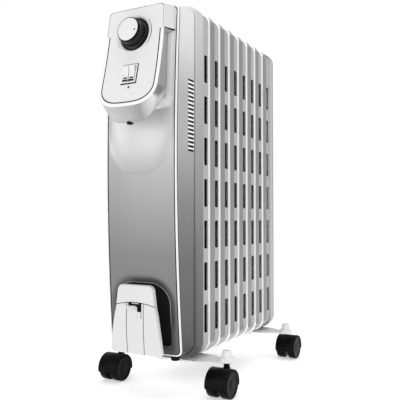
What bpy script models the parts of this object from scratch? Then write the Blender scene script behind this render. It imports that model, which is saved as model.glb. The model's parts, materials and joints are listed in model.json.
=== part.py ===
"""Oil filled radiator heater: nine steel elements, front control housing, console and casters.

Units are metres.  +Z is up, the control side faces -Y, the elements are stacked along +Y, and the
origin lies on the floor under the middle of the heater.
"""
from math import cos, pi, radians, sin, sqrt

import bmesh
import bpy
from mathutils import Matrix, Vector

MM = 0.001
GAP = 0.4 * MM                      # clearance between pieces that rest on each other
CONSOLE_GAP = 1.0 * MM              # the same between the console and the curved fascia

# ---- driving dimensions -------------------------------------------------------------------------
PITCH = 38.5 * MM                   # from one element to the next
ELEMENTS = 9
FIRST_GAP_Y = -87.0 * MM            # middle of the gap between elements 1 and 2
BODY_TOP = 636.6 * MM
BODY_BOTTOM = 56.8 * MM
BODY_HALF_WIDTH = 69.5 * MM
CORNER_TOP = 20.0 * MM
CORNER_BOTTOM = 28.0 * MM
SHEET = 1.2 * MM                    # steel thickness of an element
FLANGE_HALF_DEPTH = 9.6 * MM        # half of an element's outer band, along Y
FLANGE_STEP = 1.9 * MM              # how far the slotted strip lies below the band
FLANGE_REACH = 45.0 * MM            # where the band ends on the top and bottom edge
SLOTS = 7
SLOT_PITCH = 69.5 * MM
SLOT_LENGTH = 46.5 * MM
SLOT_WIDTH = 10.8 * MM
FIRST_SLOT_TOP = 560.0 * MM
HEADER_RADIUS = 14.0 * MM           # bore of the oil headers that join the elements
HEADER_SIDES = 10
UPPER_HEADER_Z = 592.0 * MM
LOWER_HEADER_Z = 104.0 * MM
CHANNEL_X = (-38.0 * MM, 0.0, 38.0 * MM)
CHANNEL_HALF_WIDTH = 9.0 * MM
CHANNEL_DEPTH = 5.0 * MM
CHANNEL_TOP = 556.0 * MM
CHANNEL_BOTTOM = 140.0 * MM

HOUSING_HALF_WIDTH = 67.0 * MM
HOUSING_TOP_FRONT = 620.0 * MM
HOUSING_TOP_REAR = 632.0 * MM
HOUSING_BOTTOM = 71.5 * MM
HOUSING_REAR_Y = FIRST_GAP_Y - 36.8 * MM
BULGE_Y = FIRST_GAP_Y - 94.0 * MM   # foremost line of the fascia's edge
BULGE_Z = 394.0 * MM
BULGE_RADIUS = 2960.0 * MM          # the fascia is an arc of this radius in side view
FASCIA_HALF_WIDTH = 64.2 * MM
FASCIA_TOP = 617.6 * MM
FASCIA_BOTTOM = 73.9 * MM
FASCIA_CORNER = 8.0 * MM
FASCIA_BOW = 6.0 * MM               # how far the fascia's middle stands before its edges
FASCIA_WALL = 2.2 * MM
SCOOP_DEPTH = 13.0 * MM
SCOOP_LOW_Z = 358.0 * MM
SCOOP_ROOF_Z = 459.0 * MM
VENTS = 18
VENT_PITCH = 6.65 * MM
VENT_TOP_Z = 509.0 * MM
VENT_HEIGHT = 3.2 * MM
VENT_FRONT_Y = FIRST_GAP_Y - 58.0 * MM
VENT_REAR_Y = FIRST_GAP_Y - 40.0 * MM

PANEL_TOP_Z = 619.0 * MM
PANEL_TOP_Y = FIRST_GAP_Y - 106.0 * MM
PANEL_LEAN = 0.09                   # slope of the console face at its top
PANEL_SWEEP = 0.72                  # how fast that slope grows, per metre
CONSOLE_HALF_WIDTH = 55.5 * MM
CONSOLE_BOTTOM_Z = 456.5 * MM
CONSOLE_SHOULDER_Z = 572.0 * MM     # below this height the console stands free of the shoulders
RIM_WIDTH = 7.0 * MM
RIM_LIP = 1.6 * MM                  # how far the panel lies below the rim
CONSOLE_WALL = 2.4 * MM
CHIN_Y = FIRST_GAP_Y - 125.0 * MM
CHIN_Z = 434.0 * MM

KNOB_Z = 575.8 * MM
KNOB_BASE_RADIUS = 26.0 * MM
KNOB_CAP_RADIUS = 19.4 * MM
KNOB_HEIGHT = 20.0 * MM
BEZEL_RADIUS = 32.0 * MM
SWITCH_Z = 509.6 * MM
SWITCH_HALF_WIDTH = 14.4 * MM
SWITCH_HALF_HEIGHT = 16.0 * MM
PILOT_Z = 487.5 * MM
PILOT_X = 3.0 * MM
BEZEL_HOLE = 29.0 * MM
BEZEL_SEAT = 1.7 * MM               # underside of the bezel over the curved panel
SHAFT_RADIUS = 3.0 * MM
PANEL_WALL = 2.0 * MM
PANEL_SEAT = RIM_LIP + PANEL_WALL + 0.9 * MM
ROCKER_X = 5.7 * MM
ROCKER_HALF_WIDTH = 5.4 * MM
ROCKER_HALF_HEIGHT = 12.2 * MM
ROCKER_PIVOT = -1.0 * MM
ROCKER_REST = 8.0                   # degrees that a rocker leans at rest

BRACKET_FACE_Y = FIRST_GAP_Y - 108.0 * MM
BRACKET_TOP_Z = 182.0 * MM
BRACKET_BOTTOM_Z = 74.0 * MM
BRACKET_TOP_HALF = 32.0 * MM
BRACKET_BOTTOM_HALF = 50.0 * MM
COVE_HALF_WIDTH = 51.0 * MM
COVE_TOP_Z = 185.0 * MM
COVE_BOTTOM_Z = 84.0 * MM
COVE_BACK_Y = BULGE_Y + 26.0 * MM
COVE_WALL = 1.6 * MM
WINDOW_HALF = 12.5 * MM
WINDOW_LOW_Z = 131.0 * MM
WINDOW_HIGH_Z = 155.0 * MM
POST_HALF = 11.0 * MM
TAB_HALF = 8.0 * MM
GLAND_X = 44.0 * MM
GLAND_Y = FIRST_GAP_Y - 58.0 * MM
GLAND_NECK = 6.0 * MM

CASTER_X = 106.0 * MM
CASTER_TRAIL = 17.0 * MM
WHEEL_RADIUS = 22.0 * MM
WHEEL_WIDTH = 15.0 * MM
WHEEL_GAP = 8.4 * MM
HOOD_RADIUS = 24.6 * MM
WHEEL_SIDES = 20
STEM_RADIUS = 3.6 * MM
BOLT_RADIUS = 2.0 * MM
BOLT_HALF = 18.5 * MM               # half the spacing of a U-bolt's legs
PLATE_HALF_DEPTH = 28.0 * MM
PLATE_Z = 52.5 * MM
PLATE_THICKNESS = 2.4 * MM
FRONT_PLATE_Y = FIRST_GAP_Y
REAR_PLATE_Y = FIRST_GAP_Y + 7 * PITCH


# ---- colours ------------------------------------------------------------------------------------
def material(name, colour, roughness, metallic=0.0):
    made = bpy.data.materials.new(name)
    made.use_nodes = True
    shader = made.node_tree.nodes["Principled BSDF"]
    shader.inputs["Base Color"].default_value = (*colour, 1.0)
    shader.inputs["Roughness"].default_value = roughness
    shader.inputs["Metallic"].default_value = metallic
    return made


for leftover in list(bpy.data.objects):
    bpy.data.objects.remove(leftover)

LIGHT_STEEL = material("element_steel", (0.72, 0.72, 0.72), 0.45, 0.1)
DARK_STEEL = material("rear_grey", (0.16, 0.16, 0.17), 0.45, 0.2)
SILVER = material("silver_shell", (0.42, 0.42, 0.43), 0.35, 0.6)
TRIM_WHITE = material("trim_white", (0.9, 0.9, 0.9), 0.25)
PANEL_WHITE = material("panel_white", (0.84, 0.84, 0.84), 0.35)
BAND_METAL = material("band_metal", (0.55, 0.55, 0.56), 0.25, 0.9)
BLACK = material("black_plastic", (0.01, 0.01, 0.01), 0.4)
COVE_GREY = material("cove_grey", (0.07, 0.07, 0.075), 0.45)
BRACKET_WHITE = material("bracket_white", (0.85, 0.85, 0.85), 0.4)
PLATE_WHITE = material("plate_white", (0.8, 0.8, 0.8), 0.4, 0.1)
ZINC = material("zinc", (0.6, 0.61, 0.62), 0.35, 1.0)
BRASS = material("brass", (0.66, 0.5, 0.22), 0.35, 1.0)
CHROME = material("knob_chrome", (0.25, 0.25, 0.26), 0.15, 1.0)
PILOT_AMBER = material("pilot_amber", (0.8, 0.35, 0.08), 0.2)
PHENOLIC = material("phenolic", (0.12, 0.09, 0.07), 0.5)


# ---- building blocks ----------------------------------------------------------------------------
def finish(name, shape, finish_material, sharp_degrees=35.0, origin=None):
    """Turn a bmesh into a named object, smooth except at edges sharper than the given angle."""
    bmesh.ops.remove_doubles(shape, verts=shape.verts, dist=0.00002)
    bmesh.ops.recalc_face_normals(shape, faces=shape.faces)
    mesh = bpy.data.meshes.new(name)
    if origin is not None:
        bmesh.ops.translate(shape, verts=shape.verts, vec=-Vector(origin))
    shape.to_mesh(mesh)
    shape.free()
    mesh.materials.append(finish_material)
    mesh.shade_smooth()
    mesh.set_sharp_from_angle(angle=radians(sharp_degrees))
    made = bpy.data.objects.new(name, mesh)
    if origin is not None:
        made.location = origin
    bpy.context.collection.objects.link(made)
    return made


def solidify(thing, thickness, offset=-1.0):
    wall = thing.modifiers.new("wall", "SOLIDIFY")
    wall.thickness = thickness
    wall.offset = offset
    wall.use_even_offset = True
    return thing


def boolean(thing, other, operation):
    other.hide_render = True
    other.display_type = "WIRE"
    step = thing.modifiers.new(operation.lower(), "BOOLEAN")
    step.operation = operation
    step.solver = "EXACT"
    step.object = other
    return thing


def cut(thing, cutter):
    return boolean(thing, cutter, "DIFFERENCE")


def join(thing, other):
    return boolean(thing, other, "UNION")


def add_box(shape, low, high):
    """A box between two corners, in the shape's own coordinates."""
    size = Vector(high) - Vector(low)
    centre = (Vector(high) + Vector(low)) / 2
    place = Matrix.Translation(centre) @ Matrix.Diagonal((*size, 1.0))
    return bmesh.ops.create_cube(shape, size=1.0, matrix=place)["verts"]


def add_turned(shape, profile, segments, place):
    """A solid of revolution about the place's Z axis; the profile is (radius, height) pairs
    from one pole to the other."""
    rings = []
    for radius, height in profile:
        if radius < 1e-6:
            rings.append([shape.verts.new(place @ Vector((0, 0, height)))])
            continue
        ring = []
        for step in range(segments):
            angle = 2 * pi * step / segments
            point = Vector((radius * cos(angle), radius * sin(angle), height))
            ring.append(shape.verts.new(place @ point))
        rings.append(ring)
    for lower, upper in zip(rings, rings[1:]):
        for step in range(segments):
            after = (step + 1) % segments
            corners = [lower[step % len(lower)], lower[after % len(lower)],
                       upper[after % len(upper)], upper[step % len(upper)]]
            shape.faces.new(list(dict.fromkeys(corners)))
    return shape


def closed_profile(profile):
    """A pipe-like profile (radius, height) whose end joins its start."""
    return list(profile) + [profile[0]]


def add_tube(shape, profile, segments, place):
    """A turned ring: the closed profile never touches the axis."""
    add_turned(shape, closed_profile(profile), segments, place)
    return shape


def axis_place(at, direction):
    """A matrix whose Z axis points along the direction and whose origin is at the point."""
    turn = Vector(direction).to_track_quat("Z", "Y").to_matrix().to_4x4()
    return Matrix.Translation(Vector(at)) @ turn


def add_loft(shape, loops, closed=True):
    """Quads between successive rows of points; every row has the same number of points."""
    rows = [[shape.verts.new(point) for point in loop] for loop in loops]
    count = len(rows[0])
    spans = count if closed else count - 1
    for first, second in zip(rows, rows[1:]):
        for step in range(spans):
            after = (step + 1) % count
            shape.faces.new((first[step], first[after], second[after], second[step]))
    return rows


def fill_between(shape, loops):
    """Fill a flat region bounded by closed vertex loops; inner loops stay as holes."""
    edges = []
    for loop in loops:
        for first, second in zip(loop, loop[1:] + loop[:1]):
            edge = shape.edges.get((first, second)) or shape.edges.new((first, second))
            edges.append(edge)
    bmesh.ops.triangle_fill(shape, use_beauty=True, use_dissolve=False, edges=edges)


def arc_points(centre_x, centre_z, radius, start, end, steps):
    """Points (x, z) on an arc; angles in degrees, counted from +X towards +Z."""
    points = []
    for step in range(steps + 1):
        angle = radians(start + (end - start) * step / steps)
        points.append((centre_x + radius * cos(angle), centre_z + radius * sin(angle)))
    return points


def rounded_outline(half_width, top, bottom, corner_top, corner_bottom, steps, sides=1):
    """Closed outline of a rounded rectangle, clockwise from the top left end of the top edge.
    Each long side is divided into the given number of pieces."""
    right = arc_points(half_width - corner_top, top - corner_top, corner_top, 90, 0, steps)
    low_start = bottom + corner_bottom
    for step in range(1, sides):
        share = step / sides
        right.append((half_width, top - corner_top + (low_start - top + corner_top) * share))
    right += arc_points(half_width - corner_bottom, low_start, corner_bottom, 0, -90, steps)
    left = [(-x, z) for x, z in reversed(right)]
    return right + left


def circle_outline(centre_x, centre_z, radius, count):
    return [(centre_x + radius * cos(2 * pi * step / count),
             centre_z + radius * sin(2 * pi * step / count)) for step in range(count)]


# ---- radiator elements --------------------------------------------------------------------------
def element_y(number):
    """Middle of an element's outer band."""
    return FIRST_GAP_Y + (number - 1.5) * PITCH


def band_path(inset, side):
    """The line along which an element's band is bent: round the top corner, down the side and
    round the bottom corner."""
    points = [(FLANGE_REACH, BODY_TOP - inset)]
    points += arc_points(BODY_HALF_WIDTH - CORNER_TOP, BODY_TOP - CORNER_TOP,
                         CORNER_TOP - inset, 90, 0, 3)
    points += arc_points(BODY_HALF_WIDTH - CORNER_BOTTOM, BODY_BOTTOM + CORNER_BOTTOM,
                         CORNER_BOTTOM - inset, 0, -90, 3)
    points.append((FLANGE_REACH - 10 * MM, BODY_BOTTOM + inset))
    return [(side * x, z) for x, z in points]


def band_section(number):
    """(inset, y) pairs across the band, from the element's face to the slotted strip's end."""
    middle = element_y(number)
    front = middle - FLANGE_HALF_DEPTH
    strip_end = front + PITCH - 0.6 * MM
    if number == 1:
        step = FLANGE_STEP
        return [(4.4 * MM, front), (step, front + 2.2 * MM), (step, strip_end)]
    if number == ELEMENTS:
        step = FLANGE_STEP
        return [(4.4 * MM, front), (step, front + 2.2 * MM), (step, front + 16 * MM)]
    rear = middle + FLANGE_HALF_DEPTH
    return [(2.6 * MM, front), (0.0, front + 2.6 * MM), (0.0, rear - 0.6 * MM),
            (FLANGE_STEP, rear), (FLANGE_STEP, strip_end)]


def channel_outline(centre_x, inset):
    """Eight-sided outline of one raised oil channel."""
    half = CHANNEL_HALF_WIDTH - inset
    top = CHANNEL_TOP - inset
    bottom = CHANNEL_BOTTOM + inset
    cut_off = 5.0 * MM
    return [(centre_x + half, top - cut_off), (centre_x + half, bottom + cut_off),
            (centre_x + half - cut_off, bottom), (centre_x - half + cut_off, bottom),
            (centre_x - half, bottom + cut_off), (centre_x - half, top - cut_off),
            (centre_x - half + cut_off, top), (centre_x + half - cut_off, top)]


def radiator_element(number):
    shape = bmesh.new()
    section = band_section(number)
    face_inset, face_y = section[0]
    border = {}
    for side in (1, -1):
        rows = [[Vector((x, y, z)) for x, z in band_path(inset, side)] for inset, y in section]
        border[side] = add_loft(shape, rows, closed=False)[0]
    outer = border[1] + list(reversed(border[-1]))
    inner_loops = []
    for channel_x in CHANNEL_X:
        low = [shape.verts.new((x, face_y, z)) for x, z in channel_outline(channel_x, 0.0)]
        raised = channel_outline(channel_x, 3.0 * MM)
        high = [shape.verts.new((x, face_y - CHANNEL_DEPTH, z)) for x, z in raised]
        for step in range(len(low)):
            after = (step + 1) % len(low)
            shape.faces.new((low[step], low[after], high[after], high[step]))
        shape.faces.new(high)
        inner_loops.append(low)
    if number < ELEMENTS:
        for header_z in (UPPER_HEADER_Z, LOWER_HEADER_Z):
            ring = circle_outline(0.0, header_z, HEADER_RADIUS, HEADER_SIDES)
            near = [shape.verts.new((x, face_y, z)) for x, z in ring]
            far = [shape.verts.new((x, face_y + PITCH - GAP, z)) for x, z in ring]
            for step in range(len(ring)):
                after = (step + 1) % len(ring)
                shape.faces.new((near[step], near[after], far[after], far[step]))
            inner_loops.append(near)
    fill_between(shape, [outer] + inner_loops)
    bmesh.ops.recalc_face_normals(shape, faces=shape.faces)
    shape.faces.ensure_lookup_table()
    flat = max(shape.faces, key=lambda face: face.calc_area() * abs(face.normal.y))
    if flat.normal.y > 0:
        bmesh.ops.reverse_faces(shape, faces=shape.faces)
    name = f"radiator_element_{number}"
    mesh = bpy.data.meshes.new(name)
    shape.to_mesh(mesh)
    shape.free()
    mesh.materials.append(LIGHT_STEEL)
    mesh.shade_smooth()
    mesh.set_sharp_from_angle(angle=radians(35))
    made = bpy.data.objects.new(name, mesh)
    bpy.context.collection.objects.link(made)
    solidify(made, SHEET)
    if number < ELEMENTS:
        cut(made, slot_cutter(number))
    return made


def slot_cutter(number):
    """The seven slots in one gap, cut through both sides at once."""
    shape = bmesh.new()
    gap_y = element_y(number) + PITCH / 2
    reach = BODY_HALF_WIDTH + 10 * MM
    for row in range(SLOTS):
        top = FIRST_SLOT_TOP - row * SLOT_PITCH
        for side in (1, -1):
            ends = sorted((side * (BODY_HALF_WIDTH - 8 * MM), side * reach))
            add_box(shape, (ends[0], gap_y - SLOT_WIDTH / 2, top - SLOT_LENGTH),
                    (ends[1], gap_y + SLOT_WIDTH / 2, top))
    return finish(f"slot_cutter_{number}", shape, LIGHT_STEEL)


for element_number in range(1, ELEMENTS + 1):
    radiator_element(element_number)


# ---- end covers ---------------------------------------------------------------------------------
def outline_loop(half_width, top, bottom, corner_top, corner_bottom, inset, y, steps=4):
    points = rounded_outline(half_width - inset, top - inset, bottom + inset,
                             corner_top - inset, corner_bottom - inset, steps)
    return [Vector((x, y, z)) for x, z in points]


def front_end_cover():
    """The grey band round the first element, with a lip that the housing meets."""
    rear = FIRST_GAP_Y - 11.6 * MM
    front = FIRST_GAP_Y - 36.3 * MM
    section = [(0.0, rear), (0.0, front + 2.5 * MM), (0.9 * MM, front + 0.8 * MM),
               (3.0 * MM, front), (11.0 * MM, front)]
    shape = bmesh.new()
    add_loft(shape, [outline_loop(BODY_HALF_WIDTH, BODY_TOP, BODY_BOTTOM, CORNER_TOP,
                                  CORNER_BOTTOM, inset, y) for inset, y in section])
    solidify(finish("front_end_cover", shape, SILVER), 1.4 * MM)


def rear_end_cover():
    """A pan over the last element with three raised ribs on its back."""
    front = element_y(ELEMENTS) - FLANGE_HALF_DEPTH + 0.1 * MM
    back = element_y(ELEMENTS) + FLANGE_HALF_DEPTH + 1.2 * MM
    section = [(0.0, front), (0.0, back - 4.0 * MM), (1.2 * MM, back - 1.2 * MM),
               (4.0 * MM, back)]
    shape = bmesh.new()
    rows = add_loft(shape, [outline_loop(BODY_HALF_WIDTH, BODY_TOP, BODY_BOTTOM, CORNER_TOP,
                                         CORNER_BOTTOM, inset, y) for inset, y in section])
    loops = [rows[-1]]
    for channel_x in CHANNEL_X:
        low = [shape.verts.new((x, back, z)) for x, z in channel_outline(channel_x, 0.0)]
        high = [shape.verts.new((x, back + 2.5 * MM, z))
                for x, z in channel_outline(channel_x, 2.5 * MM)]
        for step in range(len(low)):
            after = (step + 1) % len(low)
            shape.faces.new((low[step], low[after], high[after], high[step]))
        shape.faces.new(high)
        loops.append(low)
    fill_between(shape, loops)
    solidify(finish("rear_end_cover", shape, DARK_STEEL), 1.4 * MM)


front_end_cover()
rear_end_cover()


# ---- front housing ------------------------------------------------------------------------------
def edge_y(z):
    """Y of the fascia's edge at a height: one shallow arc in side view."""
    drop = z - BULGE_Z
    return BULGE_Y + BULGE_RADIUS - sqrt(BULGE_RADIUS ** 2 - drop ** 2)


def smooth_step(value):
    value = min(1.0, max(0.0, value))
    return value * value * (3 - 2 * value)


def scoop_depth(x, z):
    """Depth of the finger scoop under the console."""
    across = min(1.0, abs(x) / (60 * MM))
    low_edge = SCOOP_LOW_Z + 42 * MM * across ** 3
    rise = smooth_step((z - low_edge) / (62 * MM))
    fade = 1 - smooth_step((z - SCOOP_ROOF_Z) / (14 * MM))
    return SCOOP_DEPTH * rise * fade * (1 - across ** 4)


def fascia_y(x, z):
    bow = FASCIA_BOW * (1 - (x / FASCIA_HALF_WIDTH) ** 2)
    return edge_y(z) - bow + scoop_depth(x, z)


def corner_half_width(z, half_width, top, bottom, corner):
    """Half width of a rounded rectangle at a height."""
    reach = 0.0
    if z > top - corner:
        reach = z - (top - corner)
    if z < bottom + corner:
        reach = (bottom + corner) - z
    return half_width - corner + sqrt(max(0.0, corner ** 2 - reach ** 2))


def fascia_rows():
    """Heights of the fascia's rows: close together round the scoop and the corners."""
    corner = FASCIA_CORNER
    heights = [FASCIA_BOTTOM, FASCIA_BOTTOM + 0.13 * corner, FASCIA_BOTTOM + 0.5 * corner]
    heights += [FASCIA_BOTTOM + corner + (SCOOP_LOW_Z - FASCIA_BOTTOM - corner) * step / 4
                for step in range(5)]
    heights += [SCOOP_LOW_Z + (SCOOP_ROOF_Z - SCOOP_LOW_Z) * step / 7 for step in range(1, 8)]
    upper_end = FASCIA_TOP - corner
    heights += [SCOOP_ROOF_Z + 14 * MM]
    heights += [SCOOP_ROOF_Z + 14 * MM + (upper_end - SCOOP_ROOF_Z - 14 * MM) * step / 2
                for step in range(1, 3)]
    heights += [FASCIA_TOP - 0.5 * corner, FASCIA_TOP - 0.13 * corner, FASCIA_TOP]
    return heights


def front_fascia():
    shape = bmesh.new()
    columns = 10
    rows = []
    for z in fascia_rows():
        half = corner_half_width(z, FASCIA_HALF_WIDTH, FASCIA_TOP, FASCIA_BOTTOM, FASCIA_CORNER)
        row = []
        for step in range(columns + 1):
            across = -cos(pi * step / columns) * 0.35 + (2 * step / columns - 1) * 0.65
            x = half * across
            row.append(Vector((x, fascia_y(x, z), z)))
        rows.append(row)
    add_loft(shape, rows, closed=False)
    bmesh.ops.recalc_face_normals(shape, faces=shape.faces)
    shape.faces.ensure_lookup_table()
    if shape.faces[len(shape.faces) // 2].normal.y > 0:
        bmesh.ops.reverse_faces(shape, faces=shape.faces)
    mesh = bpy.data.meshes.new("front_fascia")
    shape.to_mesh(mesh)
    shape.free()
    mesh.materials.append(SILVER)
    mesh.shade_smooth()
    made = bpy.data.objects.new("front_fascia", mesh)
    bpy.context.collection.objects.link(made)
    solidify(made, FASCIA_WALL)
    cut(made, cove_cutter())
    cut(made, console_cutter())
    return made


def cove_outline(grow):
    """Arched outline of the cord cove."""
    arch = 34 * MM
    foot = 8 * MM
    return rounded_outline(COVE_HALF_WIDTH + grow, COVE_TOP_Z + grow, COVE_BOTTOM_Z - grow,
                           arch + grow, foot + grow, 5)


def cove_cutter():
    shape = bmesh.new()
    loops = [[Vector((x, y, z)) for x, z in cove_outline(GAP)]
             for y in (BULGE_Y - 40 * MM, BULGE_Y + 60 * MM)]
    rows = add_loft(shape, loops)
    shape.faces.new(rows[0])
    shape.faces.new(rows[1])
    return finish("cove_cutter", shape, SILVER)


def console_cutter():
    """The opening behind the console for the thermostat and the switch."""
    shape = bmesh.new()
    add_box(shape, (-40 * MM, BULGE_Y - 40 * MM, 480 * MM), (40 * MM, BULGE_Y + 60 * MM, 608 * MM))
    return finish("console_cutter", shape, SILVER)


def control_housing():
    """The housing's side, top and bottom walls, with cooling slots on both sides."""
    shape = bmesh.new()
    sides = 8
    front = rounded_outline(HOUSING_HALF_WIDTH, HOUSING_TOP_FRONT, HOUSING_BOTTOM,
                            10 * MM, 10 * MM, 3, sides)
    rear = rounded_outline(HOUSING_HALF_WIDTH, HOUSING_TOP_REAR, HOUSING_BOTTOM,
                           17 * MM, 14 * MM, 3, sides)
    loops = [[Vector((x, edge_y(z) + 2.4 * MM, z)) for x, z in front],
             [Vector((x, HOUSING_REAR_Y, z)) for x, z in rear]]
    add_loft(shape, loops)
    made = solidify(finish("control_housing", shape, SILVER), 2.0 * MM)
    cut(made, vent_cutter())
    cut(made, gland_cutter())
    return made


def gland_cutter():
    shape = bmesh.new()
    bore = GLAND_NECK + GAP
    section = [(0.0, HOUSING_BOTTOM - 5 * MM), (bore, HOUSING_BOTTOM - 5 * MM),
               (bore, HOUSING_BOTTOM + 8 * MM), (0.0, HOUSING_BOTTOM + 8 * MM)]
    add_turned(shape, section, 14, Matrix.Translation((GLAND_X, GLAND_Y, 0.0)))
    return finish("gland_cutter", shape, SILVER)


def vent_cutter():
    shape = bmesh.new()
    for row in range(VENTS):
        top = VENT_TOP_Z - row * VENT_PITCH
        add_box(shape, (-HOUSING_HALF_WIDTH - 5 * MM, VENT_FRONT_Y, top - VENT_HEIGHT),
                (HOUSING_HALF_WIDTH + 5 * MM, VENT_REAR_Y, top))
    return finish("vent_cutter", shape, SILVER)


def trim_bead():
    """The light bead between the fascia and the housing."""
    shape = bmesh.new()
    sides = 8
    front_lip = 1.4 * MM
    section = [(0.2 * MM, 2.0 * MM), (0.2 * MM, -0.6 * MM), (0.9 * MM, -front_lip),
               (2.0 * MM, -front_lip), (2.4 * MM, 0.0), (2.4 * MM, 2.0 * MM)]
    loops = []
    for inset, forward in section + section[:1]:
        outline = rounded_outline(HOUSING_HALF_WIDTH + 0.4 * MM - inset,
                                  HOUSING_TOP_FRONT + 0.4 * MM - inset,
                                  HOUSING_BOTTOM - 0.4 * MM + inset,
                                  10.4 * MM - inset, 10.4 * MM - inset, 3, sides)
        loops.append([Vector((x, edge_y(z) + forward, z)) for x, z in outline])
    add_loft(shape, loops)
    return finish("trim_bead", shape, TRIM_WHITE)


def heat_shield():
    """Steel sheet that closes the housing towards the elements."""
    shape = bmesh.new()
    add_box(shape, (-64.4 * MM, HOUSING_REAR_Y - 1.4 * MM, 90 * MM),
            (64.4 * MM, HOUSING_REAR_Y - 0.4 * MM, 610 * MM))
    return finish("heat_shield", shape, ZINC)


front_fascia()
control_housing()
trim_bead()


# ---- console ------------------------------------------------------------------------------------
def panel_y(z):
    """Y of the console's face: steeper outwards towards its lower end."""
    drop = PANEL_TOP_Z - z
    return PANEL_TOP_Y - PANEL_LEAN * drop - PANEL_SWEEP * drop ** 2


def panel_slope(z):
    return PANEL_LEAN + 2 * PANEL_SWEEP * (PANEL_TOP_Z - z)


def panel_normal(z):
    """Unit normal of the console's face, pointing out and a little up."""
    return Vector((0.0, -1.0, panel_slope(z))).normalized()


def u_outline(inset):
    """The console's outline from the top middle, down the right side, round the wide bottom
    and up again: (x, z) pairs of the right half, then of the left half."""
    half = CONSOLE_HALF_WIDTH - inset
    top = PANEL_TOP_Z + 0.5 * MM - inset
    bottom = CONSOLE_BOTTOM_Z + inset
    corner = 7.0 * MM
    right = [(0.0, top)]
    right += arc_points(half - corner - 2.5 * MM, top - corner, corner, 90, 0, 3)
    right += [(half - 0.8 * MM, CONSOLE_SHOULDER_Z), (half, 520 * MM), (half, 490 * MM)]
    belly = 11
    for step in range(1, 6):
        angle = radians(belly * step * 90 / 55)
        x = half * cos(angle) ** 0.62 if step < 5 else 0.0
        z = 490 * MM - (490 * MM - bottom) * sin(angle)
        right.append((x, z))
    left = [(-x, z) for x, z in reversed(right[1:-1])]
    return right + left


def base_point(x, z):
    """Where the console's band ends: on the fascia at the sides, at the chin at the bottom."""
    low = smooth_step((500 * MM - z) / (500 * MM - CONSOLE_BOTTOM_Z))
    shoulder = smooth_step((z - CONSOLE_SHOULDER_Z - 1 * MM) / (6 * MM))
    half = CONSOLE_HALF_WIDTH
    side_x = x * (50 * MM / half) * (1 - shoulder) + x * shoulder * (63.4 * MM / half)
    side_x = max(-63.4 * MM, min(63.4 * MM, side_x))
    base_z = z - (CONSOLE_BOTTOM_Z - CHIN_Z) * low
    side_y = fascia_y(side_x, z) - CONSOLE_GAP * (1 + 1.4 * shoulder)
    y = side_y * (1 - low) + CHIN_Y * low
    return Vector((side_x, y, base_z)), low


def console_shell():
    """One moulding: shoulders, band, rim and the seat of the panel.  Under the chin its wall
    turns up again, so that fingers find a lip."""
    shape = bmesh.new()
    outline = u_outline(0.0)
    seat = u_outline(RIM_WIDTH)
    shelf = u_outline(RIM_WIDTH + 3.0 * MM)
    base, lip, hook = [], [], []
    for x, z in outline:
        foot, low = base_point(x, z)
        base.append(foot)
        lip.append(foot + Vector((-0.08 * foot.x * low, 6.5 * MM * low, 1.0 * MM * low)))
        rise = (SCOOP_ROOF_Z - 3 * MM - foot.z) * 0.9 * low
        hook.append(foot + Vector((-0.14 * foot.x * low, 8.5 * MM * low, rise)))
    rim = [Vector((x, panel_y(z), z)) for x, z in outline]
    rim_inner = [Vector((x, panel_y(z), z)) for x, z in seat]
    seat_loop = [Vector((x, panel_y(z) + PANEL_SEAT, z)) for x, z in seat]
    shelf_loop = [Vector((x, panel_y(z) + PANEL_SEAT, z)) for x, z in shelf]
    add_loft(shape, [hook, lip, base, rim, rim_inner, seat_loop, shelf_loop])
    return solidify(finish("console_shell", shape, BAND_METAL), CONSOLE_WALL)


def face_place(z, height=0.0, x=0.0):
    """A place on the console's face: its Z axis is the face's normal, its Y axis runs up."""
    normal = panel_normal(z)
    up = Vector((0.0, -normal.z, normal.y)) * -1.0
    across = up.cross(normal)
    turn = Matrix((across, up, normal)).transposed().to_4x4()
    point = Vector((x, panel_y(z), z)) + normal * height
    return Matrix.Translation(point) @ turn


def turned(name, profile, segments, place, finish_material, sharp_degrees=35.0, origin=None):
    shape = bmesh.new()
    add_turned(shape, profile, segments, place)
    return finish(name, shape, finish_material, sharp_degrees, origin)


def box_at(name, place, low, high, finish_material, origin=None):
    shape = bmesh.new()
    corners = add_box(shape, low, high)
    bmesh.ops.transform(shape, matrix=place, verts=corners)
    return finish(name, shape, finish_material, origin=origin)


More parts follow.
